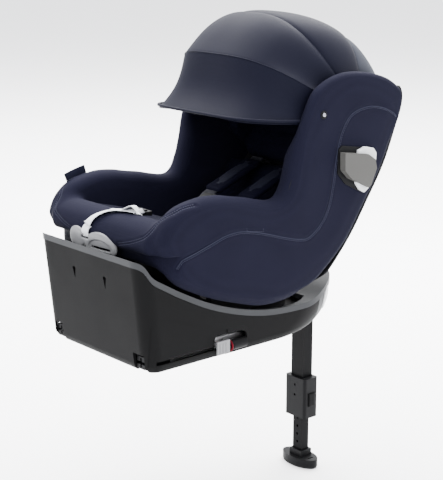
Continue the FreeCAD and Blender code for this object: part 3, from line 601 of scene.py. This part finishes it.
# ------------------------------------------------------------------ seat upholstery
S_TOP = [(-279, 246), (-288, 270), (-273, 304), (-245, 327), (-216, 338), (-176, 344), (-152, 344), (-122, 341), (-93, 335), (-54, 328),
         (-20, 319), (12, 313), (36, 318), (53, 342), (65, 382), (79, 430), (97, 475), (122, 522), (150, 543), (185, 556), (223, 561),
         (269, 558), (310, 551), (348, 539), (374, 524)]
S_BACK = [(374, 524), (392, 508), (396, 488), (381, 438), (345, 356), (291, 274), (246, 211), (214, 176), (164, 134), (125, 106)]
S_LOW = [(125, 106), (93, 95), (47, 90), (3, 90), (-42, 97), (-133, 127), (-220, 165), (-262, 205), (-279, 246)]
SIDE = Poly(catmull(S_TOP + S_BACK[1:] + S_LOW[1:-1], True, 5))
ROLL = Poly(catmull([(-232, 205), (-262, 210), (-278, 232), (-294, 246), (-298, 262), (-290, 284), (-272, 298), (-250, 302), (-232, 297), (-224, 286), (-222, 263), (-228, 230)], True, 5))
ENVP = Poly([(160, -20), (160, 76), (180, 83), (186, 87), (205, 105), (256, 136), (318, 177), (330, 186), (330.5, 240), (460, 240), (460, -20)], 2.0, 60.0)


def cover(P):
    x, y, z = P[:, 0], P[:, 1], P[:, 2]
    ax = np.abs(x)
    s = SIDE(y, z)
    t = sst((z - 385) / 70)
    # soft crown of the outer face, thinner bolster at the wings
    xo = 205.2 - 4.0 * (1 - sst(-s / 55))
    xi = 150.0 + 26 * t + 3.0 * (1 - sst(-s / 40)) * (1 - t)
    r = 22 - 9.5 * t
    side = rounded(s, np.maximum(ax - xo, xi - ax), r)
    roll = rounded(ROLL(y, z), ax - 166, 11)
    d = smin(side, roll, 16)
    e = ENVP(np.hypot(x, y - 20), z)
    return smax(d, -e + 1.2, 5)


h_ = 3.6
P, F = nets(cover, (-212, -306, 84), (212, 388, 570), h_)


def line_side(pts, x, closed=False, sub=8):
    c = catmull(pts, closed, sub)
    return np.c_[np.full(len(c), float(x)), c]


SEAM_LOW = [(-262, 214), (-242, 231), (-204, 242), (-168, 252.5), (-131, 263), (-105, 266), (-80, 265), (-30, 254), (31, 235), (77, 223), (105, 223), (138, 245), (161, 280),
            (174, 330), (182, 381), (195, 431), (218, 466), (247, 480), (287, 484), (328, 476), (362, 461), (372, 452)]
seams = []
for side in (1, -1):
    l = resample(line_side(SEAM_LOW, 205 * side), 3.0)
    l = onto(cover, l, 4)
    seams.append(l)
ARM = [(71, -296, 250), (113, -298, 261), (142.5, -295.7, 272), (157, -292, 280), (165, -276, 292), (172, -261.5, 304), (183, -245.6, 317.5), (188, -224, 329), (193, -198, 334)]
arms = []
for side in (1, -1):
    l = np.array(ARM, float)
    l[:, 0] *= side
    arms.append(onto(cover, resample(catmull(l, False, 8), 3.0), 4))
ALL_SEAMS = np.concatenate([resample(l, 1.5) for l in seams + arms])


def near(P, Q, r):
    """Distance from each P to the points Q, capped at r."""
    out = np.full(len(P), r, float)
    lo, hi = Q.min(0) - r, Q.max(0) + r
    m = np.nonzero(((P > lo) & (P < hi)).all(1))[0]
    for k in range(0, len(m), 4000):
        a = P[m[k:k + 4000]]
        d = np.sqrt(((a[:, None] - Q[None]) ** 2).sum(2)).min(1)
        out[m[k:k + 4000]] = np.minimum(d, r)
    return out


Nn = normals_of(cover, P)
ds = near(P, ALL_SEAMS, 14.0)
P = P - Nn * (2.0 * np.exp(-(ds / 3.2) ** 2) - 0.8 * np.exp(-((ds - 8) / 4.0) ** 2))[:, None]
# slack in the fabric: long shallow undulations
ph = np.sin(P[:, 1] / 41 + P[:, 2] / 67) * np.sin(P[:, 2] / 53 - P[:, 1] / 90 + np.sign(P[:, 0]) * 0.7)
P = P + Nn * (0.8 * ph)[:, None]
seat_cover = mesh("seat_cover", P, F, MT["navy"])
subsurf(seat_cover, 1)
tag_slot(seat_cover)
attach(seat_cover, "seat")
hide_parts("side_cover_right", "side_cover_left", "front_cover")

thr_p, thr_n = [], []
for l in seams + arms:
    n = normals_of(cover, l)
    t = np.gradient(l, axis=0)
    t /= np.linalg.norm(t, axis=1)[:, None]
    w = np.cross(t, n)
    for o_ in ((3.2,) if len(l) > 100 else (2.6, -2.6)):
        q = onto(cover, l + w * o_ * (1 if l[0, 0] > 0 else -1), 3)
        thr_p.append(q)
        thr_n.append(normals_of(cover, q))
# bar tack below the armrest
for side in (1, -1):
    b4 = np.array([(205 * side, -73, 274), (205 * side, -72, 264.5), (205 * side, -27, 257), (205 * side, -27, 266.5)], float)
    q = onto(cover, resample(b4, 3.0), 3)
    thr_p.append(q)
    thr_n.append(normals_of(cover, q))
for l, side in zip(seams, ("right", "left")):
    q = resample(l, 4.0)
    n = normals_of(cover, q)
    o = sweep("seat_cover_piping_" + side, q - n * 1.15, circle(1.25, 8), MT["piping"], "seat", n)
    tag_slot(o)
st = stitches("seat_cover_stitches", thr_p, thr_n, MT["thread"], "seat")
tag_slot(st)


# ------------------------------------------------------------------ cushions
U2, N2 = np.array([0.559, 0.829]), np.array([0.829, -0.559])


def tb(t, o):
    return np.array([90 + U2[0] * t + N2[0] * o, 185 + U2[1] * t + N2[1] * o])


def pad(name, f, lo, hi, mat, body, h=5.0, pressure=4.0, cap=0.006, pins=None, fill=0.6, seam_f=None, depth=2.0, width=4.0, levels=1):
    """A stuffed piece: surface of f, puffed by a cloth simulation, then its seams drawn in."""
    P, F = nets(f, lo, hi, h * (1))
    o = mesh(name, P, F, mat)
    pn = None
    if pins is not None:
        pn = np.clip(pins(P), 0, 1)
    puff(o, pressure, cap, 20, pn)
    if seam_f is not None:
        V = verts(o)
        g = np.exp(-(seam_f(P) / width) ** 2) * depth / 1000
        V = V - normals_of(f, P) * g[:, None]
        o.data.vertices.foreach_set("co", V.astype(np.float32).ravel())
        o.data.update()
    subsurf(o, levels)
    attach(o, body)
    return o


CUSH = Poly(catmull([(-222, 284), (-180, 279), (-120, 260), (-60, 238), (0, 215), (50, 199), (84, 192), (104, 172), (105, 154), (50, 168.5), (0, 186.5), (-60, 209.5), (-120, 231.5), (-180, 252.5), (-220, 256)], True, 4))


def f_cush(P):
    return rounded(CUSH(P[:, 1], P[:, 2]), np.abs(P[:, 0]) - 148, 9)


def pins_cush(P):
    x = np.abs(P[:, 0])
    n = normals_of(f_cush, P)
    up = n[:, 2] * 0.94 - n[:, 1] * -0.33
    p = np.where(n[:, 2] < 0.2, 1.0, 0.0)
    chan = np.exp(-((x - 92) / 5) ** 2) + np.exp(-((P[:, 1] + 60) / 5) ** 2) * (x < 92)
    return np.maximum(p, np.where(n[:, 2] > 0.3, chan, 0))


def seam_cush(P):
    x = np.abs(P[:, 0])
    up = normals_of(f_cush, P)[:, 2] > 0.3
    d = np.minimum(np.abs(x - 92), np.where(x < 92, np.abs(P[:, 1] + 60), 99))
    return np.where(up, d, 99)


o = pad("seat_insert", f_cush, (-160, -240, 140), (160, 120, 300), MT["liner"], "seat", 5.0, 5.0, 0.006, pins_cush, 0.55, seam_cush, 2.4, 4.0)
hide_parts("seat_cushion")

BACK = Poly(catmull([tuple(tb(t, o)) for t, o in ((6, 4), (30, 0), (100, -3), (170, -1), (184, 6), (186, 24), (184, 42), (100, 44), (22, 44), (4, 24))], True, 4))


def f_back(P):
    return rounded(BACK(P[:, 1], P[:, 2]), np.abs(P[:, 0]) - 148, 9)


def pins_back(P):
    n = normals_of(f_back, P)
    front = n[:, 1] * N2[0] + n[:, 2] * N2[1] < -0.3
    x = np.abs(P[:, 0])
    t = (P[:, 1] - 90) * U2[0] + (P[:, 2] - 185) * U2[1]
    ch = np.exp(-((x - 95) / 5) ** 2) + np.exp(-((t - 95) / 5) ** 2) * (x < 95)
    return np.where(front, ch, np.where(n[:, 1] * N2[0] + n[:, 2] * N2[1] > 0.3, 1, 0))


def seam_back(P):
    n = normals_of(f_back, P)
    front = n[:, 1] * N2[0] + n[:, 2] * N2[1] < -0.3
    x = np.abs(P[:, 0])
    t = (P[:, 1] - 90) * U2[0] + (P[:, 2] - 185) * U2[1]
    return np.where(front, np.minimum(np.abs(x - 95), np.where(x < 95, np.abs(t - 95), 99)), 99)


o = pad("back_insert", f_back, (-160, 80, 140), (160, 250, 360), MT["liner"], "seat", 5.0, 5.0, 0.005, pins_back, 0.55, seam_back, 2.4, 4.0)
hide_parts("back_cushion")

HP = Poly(catmull([tuple(tb(t, o)) for t, o in ((206, 8), (218, 0), (260, -3), (370, -5), (408, -2), (417, 8), (417, 34), (380, 36.5), (240, 36.5), (205, 34))], True, 4))
HW = Poly(catmull([tuple(tb(t, o)) for t, o in ((222, 34), (222, 0), (226, -34), (244, -60), (300, -66), (372, -64), (398, -44), (405, -10), (405, 34), (310, 36.5))], True, 4))


def f_head(P):
    ax = np.abs(P[:, 0])
    c = rounded(HP(P[:, 1], P[:, 2]), ax - 116, 8)
    w = rounded(HW(P[:, 1], P[:, 2]), np.maximum(ax - 144.5, 109 - ax), 13)
    return smin(c, w, 16)


def pins_head(P):
    n = normals_of(f_head, P)
    o_ = (P[:, 1] - 90) * N2[0] + (P[:, 2] - 185) * N2[1]
    t = (P[:, 1] - 90) * U2[0] + (P[:, 2] - 185) * U2[1]
    ax = np.abs(P[:, 0])
    p = np.where(o_ > 30, 1.0, 0.0)
    ch = np.exp(-((ax - 78) / 5) ** 2) * (o_ < 20) + np.exp(-((t - 265) / 5) ** 2) * (ax < 78) * (o_ < 20)
    return np.maximum(p, ch)


def seam_head(P):
    o_ = (P[:, 1] - 90) * N2[0] + (P[:, 2] - 185) * N2[1]
    t = (P[:, 1] - 90) * U2[0] + (P[:, 2] - 185) * U2[1]
    ax = np.abs(P[:, 0])
    return np.where(o_ < 20, np.minimum(np.abs(ax - 78), np.where(ax < 78, np.abs(t - 265), 99)), 99)


o = pad("headrest_cushion", f_head, (-160, 120, 320), (160, 380, 560), MT["liner"], "headrest", 5.0, 4.0, 0.005, pins_head, 0.6, seam_head, 2.2, 4.0)
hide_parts("headrest_pad")


def slab_f(p, q, xc, w, th, r):
    """Soft slab between two YZ points, centred at x = xc (mirrored)."""
    p, q = np.array(p, float), np.array(q, float)
    d = q - p
    L = np.linalg.norm(d)
    d /= L
    n = np.array([-d[1], d[0]])

    def f(P):
        y, z = P[:, 1] - p[0], P[:, 2] - p[1]
        a = y * d[0] + z * d[1]
        b = y * n[0] + z * n[1]
        u = np.abs(a - L / 2) - L / 2
        v = np.abs(np.abs(P[:, 0]) - xc) - w / 2
        c = np.hypot(np.maximum(u + r * 1.6, 0), np.maximum(v + r * 1.6, 0)) + np.minimum(np.maximum(u, v) + r * 1.6, 0) - r * 1.6
        return rounded(c, np.abs(b) - th / 2, r)
    return f, d, n


f_sp, dsp, nsp = slab_f((184, 340.4), (56, 288.6), 55, 51, 12.5, 5.5)


def pins_sp(P):
    v = np.abs(np.abs(P[:, 0]) - 55)
    b = (P[:, 1] - 184) * nsp[0] + (P[:, 2] - 340.4) * nsp[1]
    return np.where(np.abs(b) < 2.5, 1, 0) * np.where(v > 20, 1, 0)


o = pad("shoulder_pad_covers", f_sp, (-90, 40, 270), (90, 205, 360), MT["liner"], "seat", 3.6, 6.0, 0.003, pins_sp, 0.6)
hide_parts("shoulder_pads")
f_cp, dcp, ncp = slab_f((-19.6, 246), (-21.6, 222), 0, 50, 13, 5.5)
o = pad("crotch_pad_cover", f_cp, (-34, -36, 205), (34, -4, 258), MT["liner"], "seat", 3.0, 6.0, 0.002, None, 0.6)
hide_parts("crotch_pad")


# ------------------------------------------------------------------ harness webbing
def two_sided(name, path, w, t, mat, body, up, crown=0.0):
    path = resample(catmull(path, False, 8), 4.0)
    outs = []
    for s in (1, -1):
        p = path.copy()
        p[:, 0] *= s
        upv = np.array(up, float)
        upv[0] *= s
        o = sweep(f"{name}_{'right' if s > 0 else 'left'}", p, flat_section(w, t, 9, crown), MT[mat], body, upv)
        tag_slot(o)
        outs.append(o)
    return outs


a_ = two_sided("shoulder_webbing", [(55, 232, 323), (55, 212, 337), (55, 196, 346), (55, 184, 340.6), (55, 120, 314.6), (55, 56, 288.4), (50, 38, 281.5), (44, 20, 274)], 37, 1.9, "web", "seat", (0, -0.38, 0.92))
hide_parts("shoulder_belts")
b_ = two_sided("lap_webbing", [(149, 79, 222.5), (132, 66, 232), (110, 49, 243.5), (86, 31, 254), (64, 20, 262), (52, 16, 266.5)], 34, 1.8, "web", "seat", (0.3, -0.45, 0.85))
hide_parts("lap_belts")
c_ = sweep("crotch_webbing", resample([(0, -19.2, 250), (0, -20.4, 230), (0, -22.2, 202)], 4), flat_section(36, 1.9), MT["web"], "seat", (0, -1, 0.05))
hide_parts("crotch_belt")

# pull strap: from the handle's slot over the front roll to a flat loop on it
strap_path = np.array([(-34, -299, 246), (-34, -303, 258), (-31, -297, 270), (-20, -284, 282), (0, -268, 291), (24, -254, 299), (44, -246, 302), (57, -243, 299), (65, -243, 290), (60, -245, 283), (40, -249, 283), (18, -255, 283), (4, -260, 286)], float)
strap_w = np.array([(1, 0, 0), (1, 0, 0), (1, -0.1, 0), (0.9, -0.35, 0.05), (0.75, -0.6, 0.1), (0.6, -0.75, 0.12), (0.5, -0.82, 0.14), (0.5, -0.84, 0.15), (0.5, -0.84, 0.15), (0.5, -0.84, 0.15), (0.55, -0.8, 0.12), (0.6, -0.75, 0.1), (0.65, -0.7, 0.1)], float)
sp = catmull(strap_path, False, 12)
sw = catmull(strap_w, False, 12)
for _ in range(3):
    d = cover(sp)
    sp[26:] += (normals_of(cover, sp) * np.maximum(0, 3.2 - d)[:, None])[26:]
low = sp[-40:, 2].min()
sp[60:96, 2] = np.maximum(sp[60:96, 2], low + 13 * np.sin(math.pi * np.linspace(0, 1, 36)))
o = sweep("adjuster_webbing", sp, flat_section(23, 2.2, 9, -0.4), MT["strap"], "seat", np.cross(sw, np.gradient(sp, axis=0)))
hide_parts("adjuster_strap")


# lobed pull handle
def f_handle(P):
    x, y, z = P[:, 0], P[:, 1] + 300 - 0.0012 * (P[:, 0] + 20) ** 2, P[:, 2]
    a = (np.hypot((x + 67) / 31, (z - 240) / 23) - 1) * 23
    b = (np.hypot((x - 13) / 47, (z - 234) / 29) - 1) * 29
    m = np.maximum(smin(a, b, 9), 222.5 - z)
    d = rounded(m, np.abs(y) - 5.0, 4.2)
    q = (np.hypot((x - 14) / 35, (z - 230) / 17) - 1) * 17
    d = smax(d, -np.maximum(q, y + 1.8), 2.5)
    d = smax(d, -rounded(np.abs(z - 229.5) - 2.6, np.abs(x - 14) - 29, 1.5), 1.0)
    return smax(d, -rounded(np.abs(z - 246) - 3.2, np.abs(x + 34) - 13.5, 2.0), 1.0)


P, F = nets(f_handle, (-106, -314, 216), (68, -286, 272), 1.7)
o = mesh("pull_handle", P, F, MT["handle"], "seat")
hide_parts("recline_handle")

# plain panels sewn on the shoulder pads
for side in (1, -1):
    a3, b3 = np.array([55.0 * side, 168, 334]), np.array([55.0 * side, 74, 296])
    nn = np.array([0, -0.38, 0.925])
    q = resample([a3 + nn * 6.2, (a3 + b3) / 2 + nn * 8.2, b3 + nn * 6.2], 4.0)
    o = sweep("shoulder_pad_panel_" + ("right" if side > 0 else "left"), catmull(q, False, 2), flat_section(30, 1.6, 11, 0.8), MT["padband"], "seat", nn)
    tag_slot(o)


# ------------------------------------------------------------------ canopy
E = np.array([279.0, 451.0])
BOW = {"brim": ((-41, 481), 180.0, 5.4), "front": ((14, 600), 180.0, 3.42), "rear": ((136, 678), 161.0, 2.77),
       "crown": ((307, 629), 146.0, 4.4), "back": ((399, 541), 147.0, 4.6)}
A0 = 180.0
NU = 97


def bow_curve(key, off=0.0, n=NU, foot=26.0):
    """Points on a bow's outer line, from the right foot over the top to the left foot."""
    m, a, e = BOW[key]
    d = np.array(m, float) - E
    Rr = np.linalg.norm(d) + off
    u = d / np.linalg.norm(d)
    t = np.linspace(0.0, math.pi / 2, 400)
    v = Rr * np.sin(t) ** (2 / e)
    x = (a + off) * np.abs(np.cos(t)) ** (2 / e)
    x = x + (A0 - a) * (1 - sst(v / Rr))
    x[-1] = 0.0
    k = np.nonzero(v > foot)[0][0]
    x0 = np.interp(foot, v, x)
    half = np.r_[[(x0, foot)], np.c_[x[k:], v[k:]]]
    pts = np.r_[half, np.c_[-half[-2::-1, 0], half[-2::-1, 1]]]
    pts = resample(pts, 1.0)
    s = np.linspace(0, len(pts) - 1, n)
    x = np.interp(s, np.arange(len(pts)), pts[:, 0])
    v = np.interp(s, np.arange(len(pts)), pts[:, 1])
    return np.c_[x, E[0] + u[0] * v, E[1] + u[1] * v]


def gore(name, k0, k1, bulge, nv, body0, body1, mat, side_bulge=0.35, wrinkle=0.8, seed=0, asym=0.5, extra=None):
    a, b = bow_curve(k0), bow_curve(k1)
    vs = np.linspace(0, 1, nv)
    G = a[None] * (1 - vs[:, None, None]) + b[None] * vs[:, None, None]
    # outward direction: away from the pivot axis, leaning sideways towards the corners
    u = np.linspace(-1, 1, NU)
    rad = G[:, :, 1:] - E
    rad /= np.maximum(np.linalg.norm(rad, axis=2), 1e-6)[:, :, None]
    top = np.clip((np.linalg.norm(G[:, :, 1:] - E, axis=2) - 60) / 140, 0, 1)
    lean = -u * 1.0
    dirn = np.concatenate([np.broadcast_to((lean * 0.9)[None, :, None], rad.shape[:2] + (1,)) * (np.abs(G[:, :, 0:1]) / A0) ** 2, rad], 2)
    dirn /= np.linalg.norm(dirn, axis=2)[:, :, None]
    w = (side_bulge + (1 - side_bulge) * sst(top))
    prof = np.sin(math.pi * vs ** (math.log(0.5) / math.log(asym))).clip(0) ** (0.62 if bulge > 10 else 1.0)
    amt = bulge * prof[:, None] * w * sst(top * 3)
    rng = np.random.default_rng(seed)
    wr = np.zeros((nv, NU))
    for _ in range(5):
        f, p_, q = rng.uniform(2, 6), rng.uniform(0, 6.28), rng.uniform(-3, 3)
        wr += np.sin(f * math.pi * u[None] + p_ + q * vs[:, None])
    wr *= wrinkle / 3 * np.sin(math.pi * vs)[:, None]
    G = G + dirn * (amt + wr)[:, :, None]
    if extra is not None:
        G = extra(G, vs, u)
    P = G.reshape(-1, 3)
    i, j = np.meshgrid(np.arange(nv - 1), np.arange(NU - 1), indexing="ij")
    q = (i * NU + j).ravel()
    F = np.stack([q, q + 1, q + NU + 1, q + NU], 1)
    o = mesh(name, P, F, MT[mat])
    tag_slot(o)
    me = o.data
    area = sum(p.area for p in me.polygons)
    L = max(np.linalg.norm(np.diff(R(G[k]), axis=0), axis=1).sum() for k in range(nv))
    W = max(np.linalg.norm(np.diff(R(G[:, k]), axis=0), axis=1).sum() for k in range(NU))
    W = max(W, area / L * 1.0005)
    W = min(W, area / L / 0.31)
    so = o.modifiers.new("Thickness", "SOLIDIFY")
    so.thickness = 0.0011
    so.offset = -1 if mat != "x" else 1
    subsurf(o, 1)
    if body0 != body1:
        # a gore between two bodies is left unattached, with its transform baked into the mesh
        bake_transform(o)
    else:
        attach(o, body0)
    return o, G


def hem_sag(G, vs, u):
    G = G.copy()
    au = np.abs(u)
    side = sst(au / 0.35) * sst((0.95 - au) / 0.35)
    G[:, :, 2] -= 7.5 * ((1 - vs) ** 2)[:, None] * side[None]
    return G


def pull_in(G, vs, u):
    """The cloth between the front bows is drawn tight over the shoulders of the arch."""
    G = G.copy()
    au = np.abs(u)
    w = sst((au - 0.30) / 0.22) * sst((0.93 - au) / 0.25)
    k = 15.0 * np.sin(math.pi * vs ** 0.75)[:, None] * w[None]
    d = G - np.array([0.0, E[0], E[1]])
    d[:, :, 0] *= 0.55
    d /= np.maximum(np.linalg.norm(d, axis=2), 1e-6)[:, :, None]
    return G - d * k[:, :, None]


def tuck(G, vs, u):
    """The back sheet's corners lie inside the bows' legs."""
    G = G.copy()
    rr = np.linalg.norm(G[:, :, 1:] - E, axis=2)
    G[:, :, 0] -= np.sign(G[:, :, 0]) * 14.0 * (1 - sst((rr - 60) / 60))
    return G


visor, Gv = gore("canopy_visor", "brim", "front", -16, 13, "canopy_brim", "canopy_front", "canopy", 0.5, 0.7, 1, 0.45, hem_sag)
g1, G1 = gore("canopy_gore_front", "front", "rear", 19, 17, "canopy_front", "canopy_rear", "canopy", 0.05, 0.8, 2, 0.64, pull_in)
g2, G2 = gore("canopy_gore_rear", "rear", "crown", 22, 17, "canopy_rear", "seat", "canopy", 0.12, 0.8, 3, 0.54, None)
g3, G3 = gore("canopy_back_panel", "crown", "back", 16, 11, "seat", "seat", "canopy_back", 0.0, 0.5, 4, 0.5, tuck)
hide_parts("canopy_fabric")
for nm, key, off, body, rr in (("canopy_hem_brim", "brim", 0.6, "canopy_brim", 3.4), ("canopy_seam_front", "front", 0.2, "canopy_front", 1.5), ("canopy_seam_rear", "rear", 0.2, "canopy_rear", 1.5), ("canopy_seam_crown", "crown", 0.2, "seat", 1.3)):
    c = bow_curve(key, off, 160)
    o = sweep(nm, c, circle(rr, 10), MT["canopy"], body, (0, -0.3, 0.9) if key != "brim" else (0, 0.2, 1))
    tag_slot(o)

# ------------------------------------------------------------------ small trim
def disc(name, c, n, r, th, mat, body, seg=28):
    c, n = np.array(c, float), np.array(n, float)
    n /= np.linalg.norm(n)
    a = np.cross(n, [0, 0, 1.0])
    a /= np.linalg.norm(a)
    b = np.cross(n, a)
    prof = [(0.0, 0.5), (0.5, 0.5), (0.85, 0.42), (1.0, 0.15), (1.0, -0.5)]
    V, F = [c + n * th * 0.5], []
    for rr, hh in prof[1:]:
        for k in range(seg):
            t = 2 * math.pi * k / seg
            V.append(c + (a * math.cos(t) + b * math.sin(t)) * r * rr + n * th * hh)
    for k in range(seg):
        F.append((0, 1 + k, 1 + (k + 1) % seg))
    for q in range(len(prof) - 2):
        for k in range(seg):
            i = 1 + q * seg
            F.append((i + k, i + seg + k, i + seg + (k + 1) % seg, i + (k + 1) % seg))
    return mesh(name, np.array(V), F, mat, body)


PADP = Poly([(236, 372), (241, 394), (262, 400), (289, 394), (298, 382), (296, 358), (288, 330), (274, 306), (263, 299), (248, 307), (236, 322), (232, 342)], 1.0, 20.0)
for side, tag in ((1, "right"), (-1, "left")):
    def f_pad(P, side=side):
        return rounded(PADP(P[:, 1], P[:, 2]), np.abs(P[:, 0] * side - 209.5) - 5.5, 3.5)
    P, F = nets(f_pad, (min(198 * side, 222 * side), 212, 280), (max(198 * side, 222 * side), 314, 412), 2.6)
    tag_slot(mesh("side_guard_rest_" + tag, P, F, MT["guardpad"], "seat"))
    # press stud on the wing's front edge
    c = onto(cover, np.array([[205.0 * side, 142.8, 479.7]]), 4)
    n = normals_of(cover, c)[0]
    tag_slot(disc("stud_patch_" + tag, c[0], n, 8.5, 2.2, MT["black"], "seat"))
    tag_slot(disc("stud_" + tag, c[0] + n * 1.4, n, 4.0, 2.6, MT["snap"], "seat"))
    # red ring at the end of the release barrel
    t = np.linspace(0, 2 * math.pi, 33)[:-1]
    ring = np.c_[170.5 * side + 11.2 * np.cos(t), np.full(32, -89.2), 17 + 11.2 * np.sin(t)]
    tag_slot(sweep("barrel_ring_" + tag, ring, circle(1.9, 8), MT["red"], "base", (0, 1, 0), closed=True))

# plain folded tag on the left arm
V, F = [], []
for i in range(9):
    for j in range(4):
        a, b = i / 8, j / 3
        lo_ = np.array([-191.0, -232 + 50 * a, 312 + 15.5 * a])
        hi_ = np.array([-190.0 - 2.5 * math.sin(math.pi * a), -245 + 53 * a, 345 + 14 * a])
        V.append(lo_ * (1 - b) + hi_ * b)
for i in range(8):
    for j in range(3):
        F.append((i * 4 + j, i * 4 + j + 1, (i + 1) * 4 + j + 1, (i + 1) * 4 + j))
o = mesh("arm_tag", np.array(V), F, MT["tag"], "seat")
m = o.modifiers.new("Thickness", "SOLIDIFY")
m.thickness = 0.0018
m.offset = 0
m = o.modifiers.new("Bevel", "BEVEL")
m.width = 0.0005
tag_slot(o)

# ------------------------------------------------------------------ stage, light, camera
FLOOR_Z = -0.4102


def emit_light(name, loc, target, size, power, color=(1, 1, 1)):
    l = bpy.data.lights.new(name, "AREA")
    l.shape = "RECTANGLE"
    l.size, l.size_y = size
    l.energy = power
    l.color = color
    o = bpy.data.objects.new(name, l)
    scene.collection.objects.link(o)
    o.location = loc
    o.rotation_euler = (Vector(target) - Vector(loc)).to_track_quat("-Z", "Y").to_euler()
    return o


def floor_mat():
    m, nt, b, co = start_mat("mat_floor")
    n = noise(nt, co, 3, 2)
    nt.links.new(mix(nt, n, (0.90, 0.90, 0.905), (0.92, 0.92, 0.922)), b.inputs["Base Color"])
    b.inputs["Roughness"].default_value = 0.9
    return m


me = bpy.data.meshes.new("floor")
k = 30.0
me.from_pydata([(-k, -k, FLOOR_Z), (k, -k, FLOOR_Z), (k, k, FLOOR_Z), (-k, k, FLOOR_Z)], [], [(0, 1, 2, 3)])
floor = bpy.data.objects.new("floor", me)
scene.collection.objects.link(floor)
me.materials.append(floor_mat())

az, el = math.radians(49.2), math.radians(14.3)
back = Vector((math.sin(az) * math.cos(el), -math.cos(az) * math.cos(el), math.sin(el)))
right = Vector((math.cos(az), math.sin(az), 0))
T = Vector((0, 0.017, 0.189))
emit_light("key", T + back * 2.2 - right * 1.6 + Vector((0, 0, 2.0)), T, (1.8, 1.8), 55)
emit_light("fill", T + back * 2.4 + right * 1.8 + Vector((0, 0, 0.7)), T, (2.0, 2.0), 30)
emit_light("top", T + Vector((0.1, 0.2, 2.6)), T, (2.4, 2.4), 75)
emit_light("rear", T - back * 2.0 + right * 1.2 + Vector((0, 0, 1.6)), T, (1.6, 1.6), 45)
emit_light("ground", T - back * 2.6 + Vector((0, 0, 3.4)), T - back * 3.2 + Vector((0, 0, -0.6)), (5.0, 5.0), 1300)

w_ = bpy.data.worlds.new("studio")
scene.world = w_
w_.use_nodes = True
bg = w_.node_tree.nodes["Background"]
bg.inputs[0].default_value = (0.96, 0.97, 1.0, 1)
bg.inputs[1].default_value = 2.9

cam = bpy.data.cameras.new("camera")
cam.lens = 99.45
cam.sensor_width = 36
cam.clip_end = 100
cam.dof.use_dof = False
co_ = bpy.data.objects.new("camera", cam)
scene.collection.objects.link(co_)
co_.location = T + back * 2.919
co_.rotation_euler = (-back).to_track_quat("-Z", "Y").to_euler()
scene.camera = co_
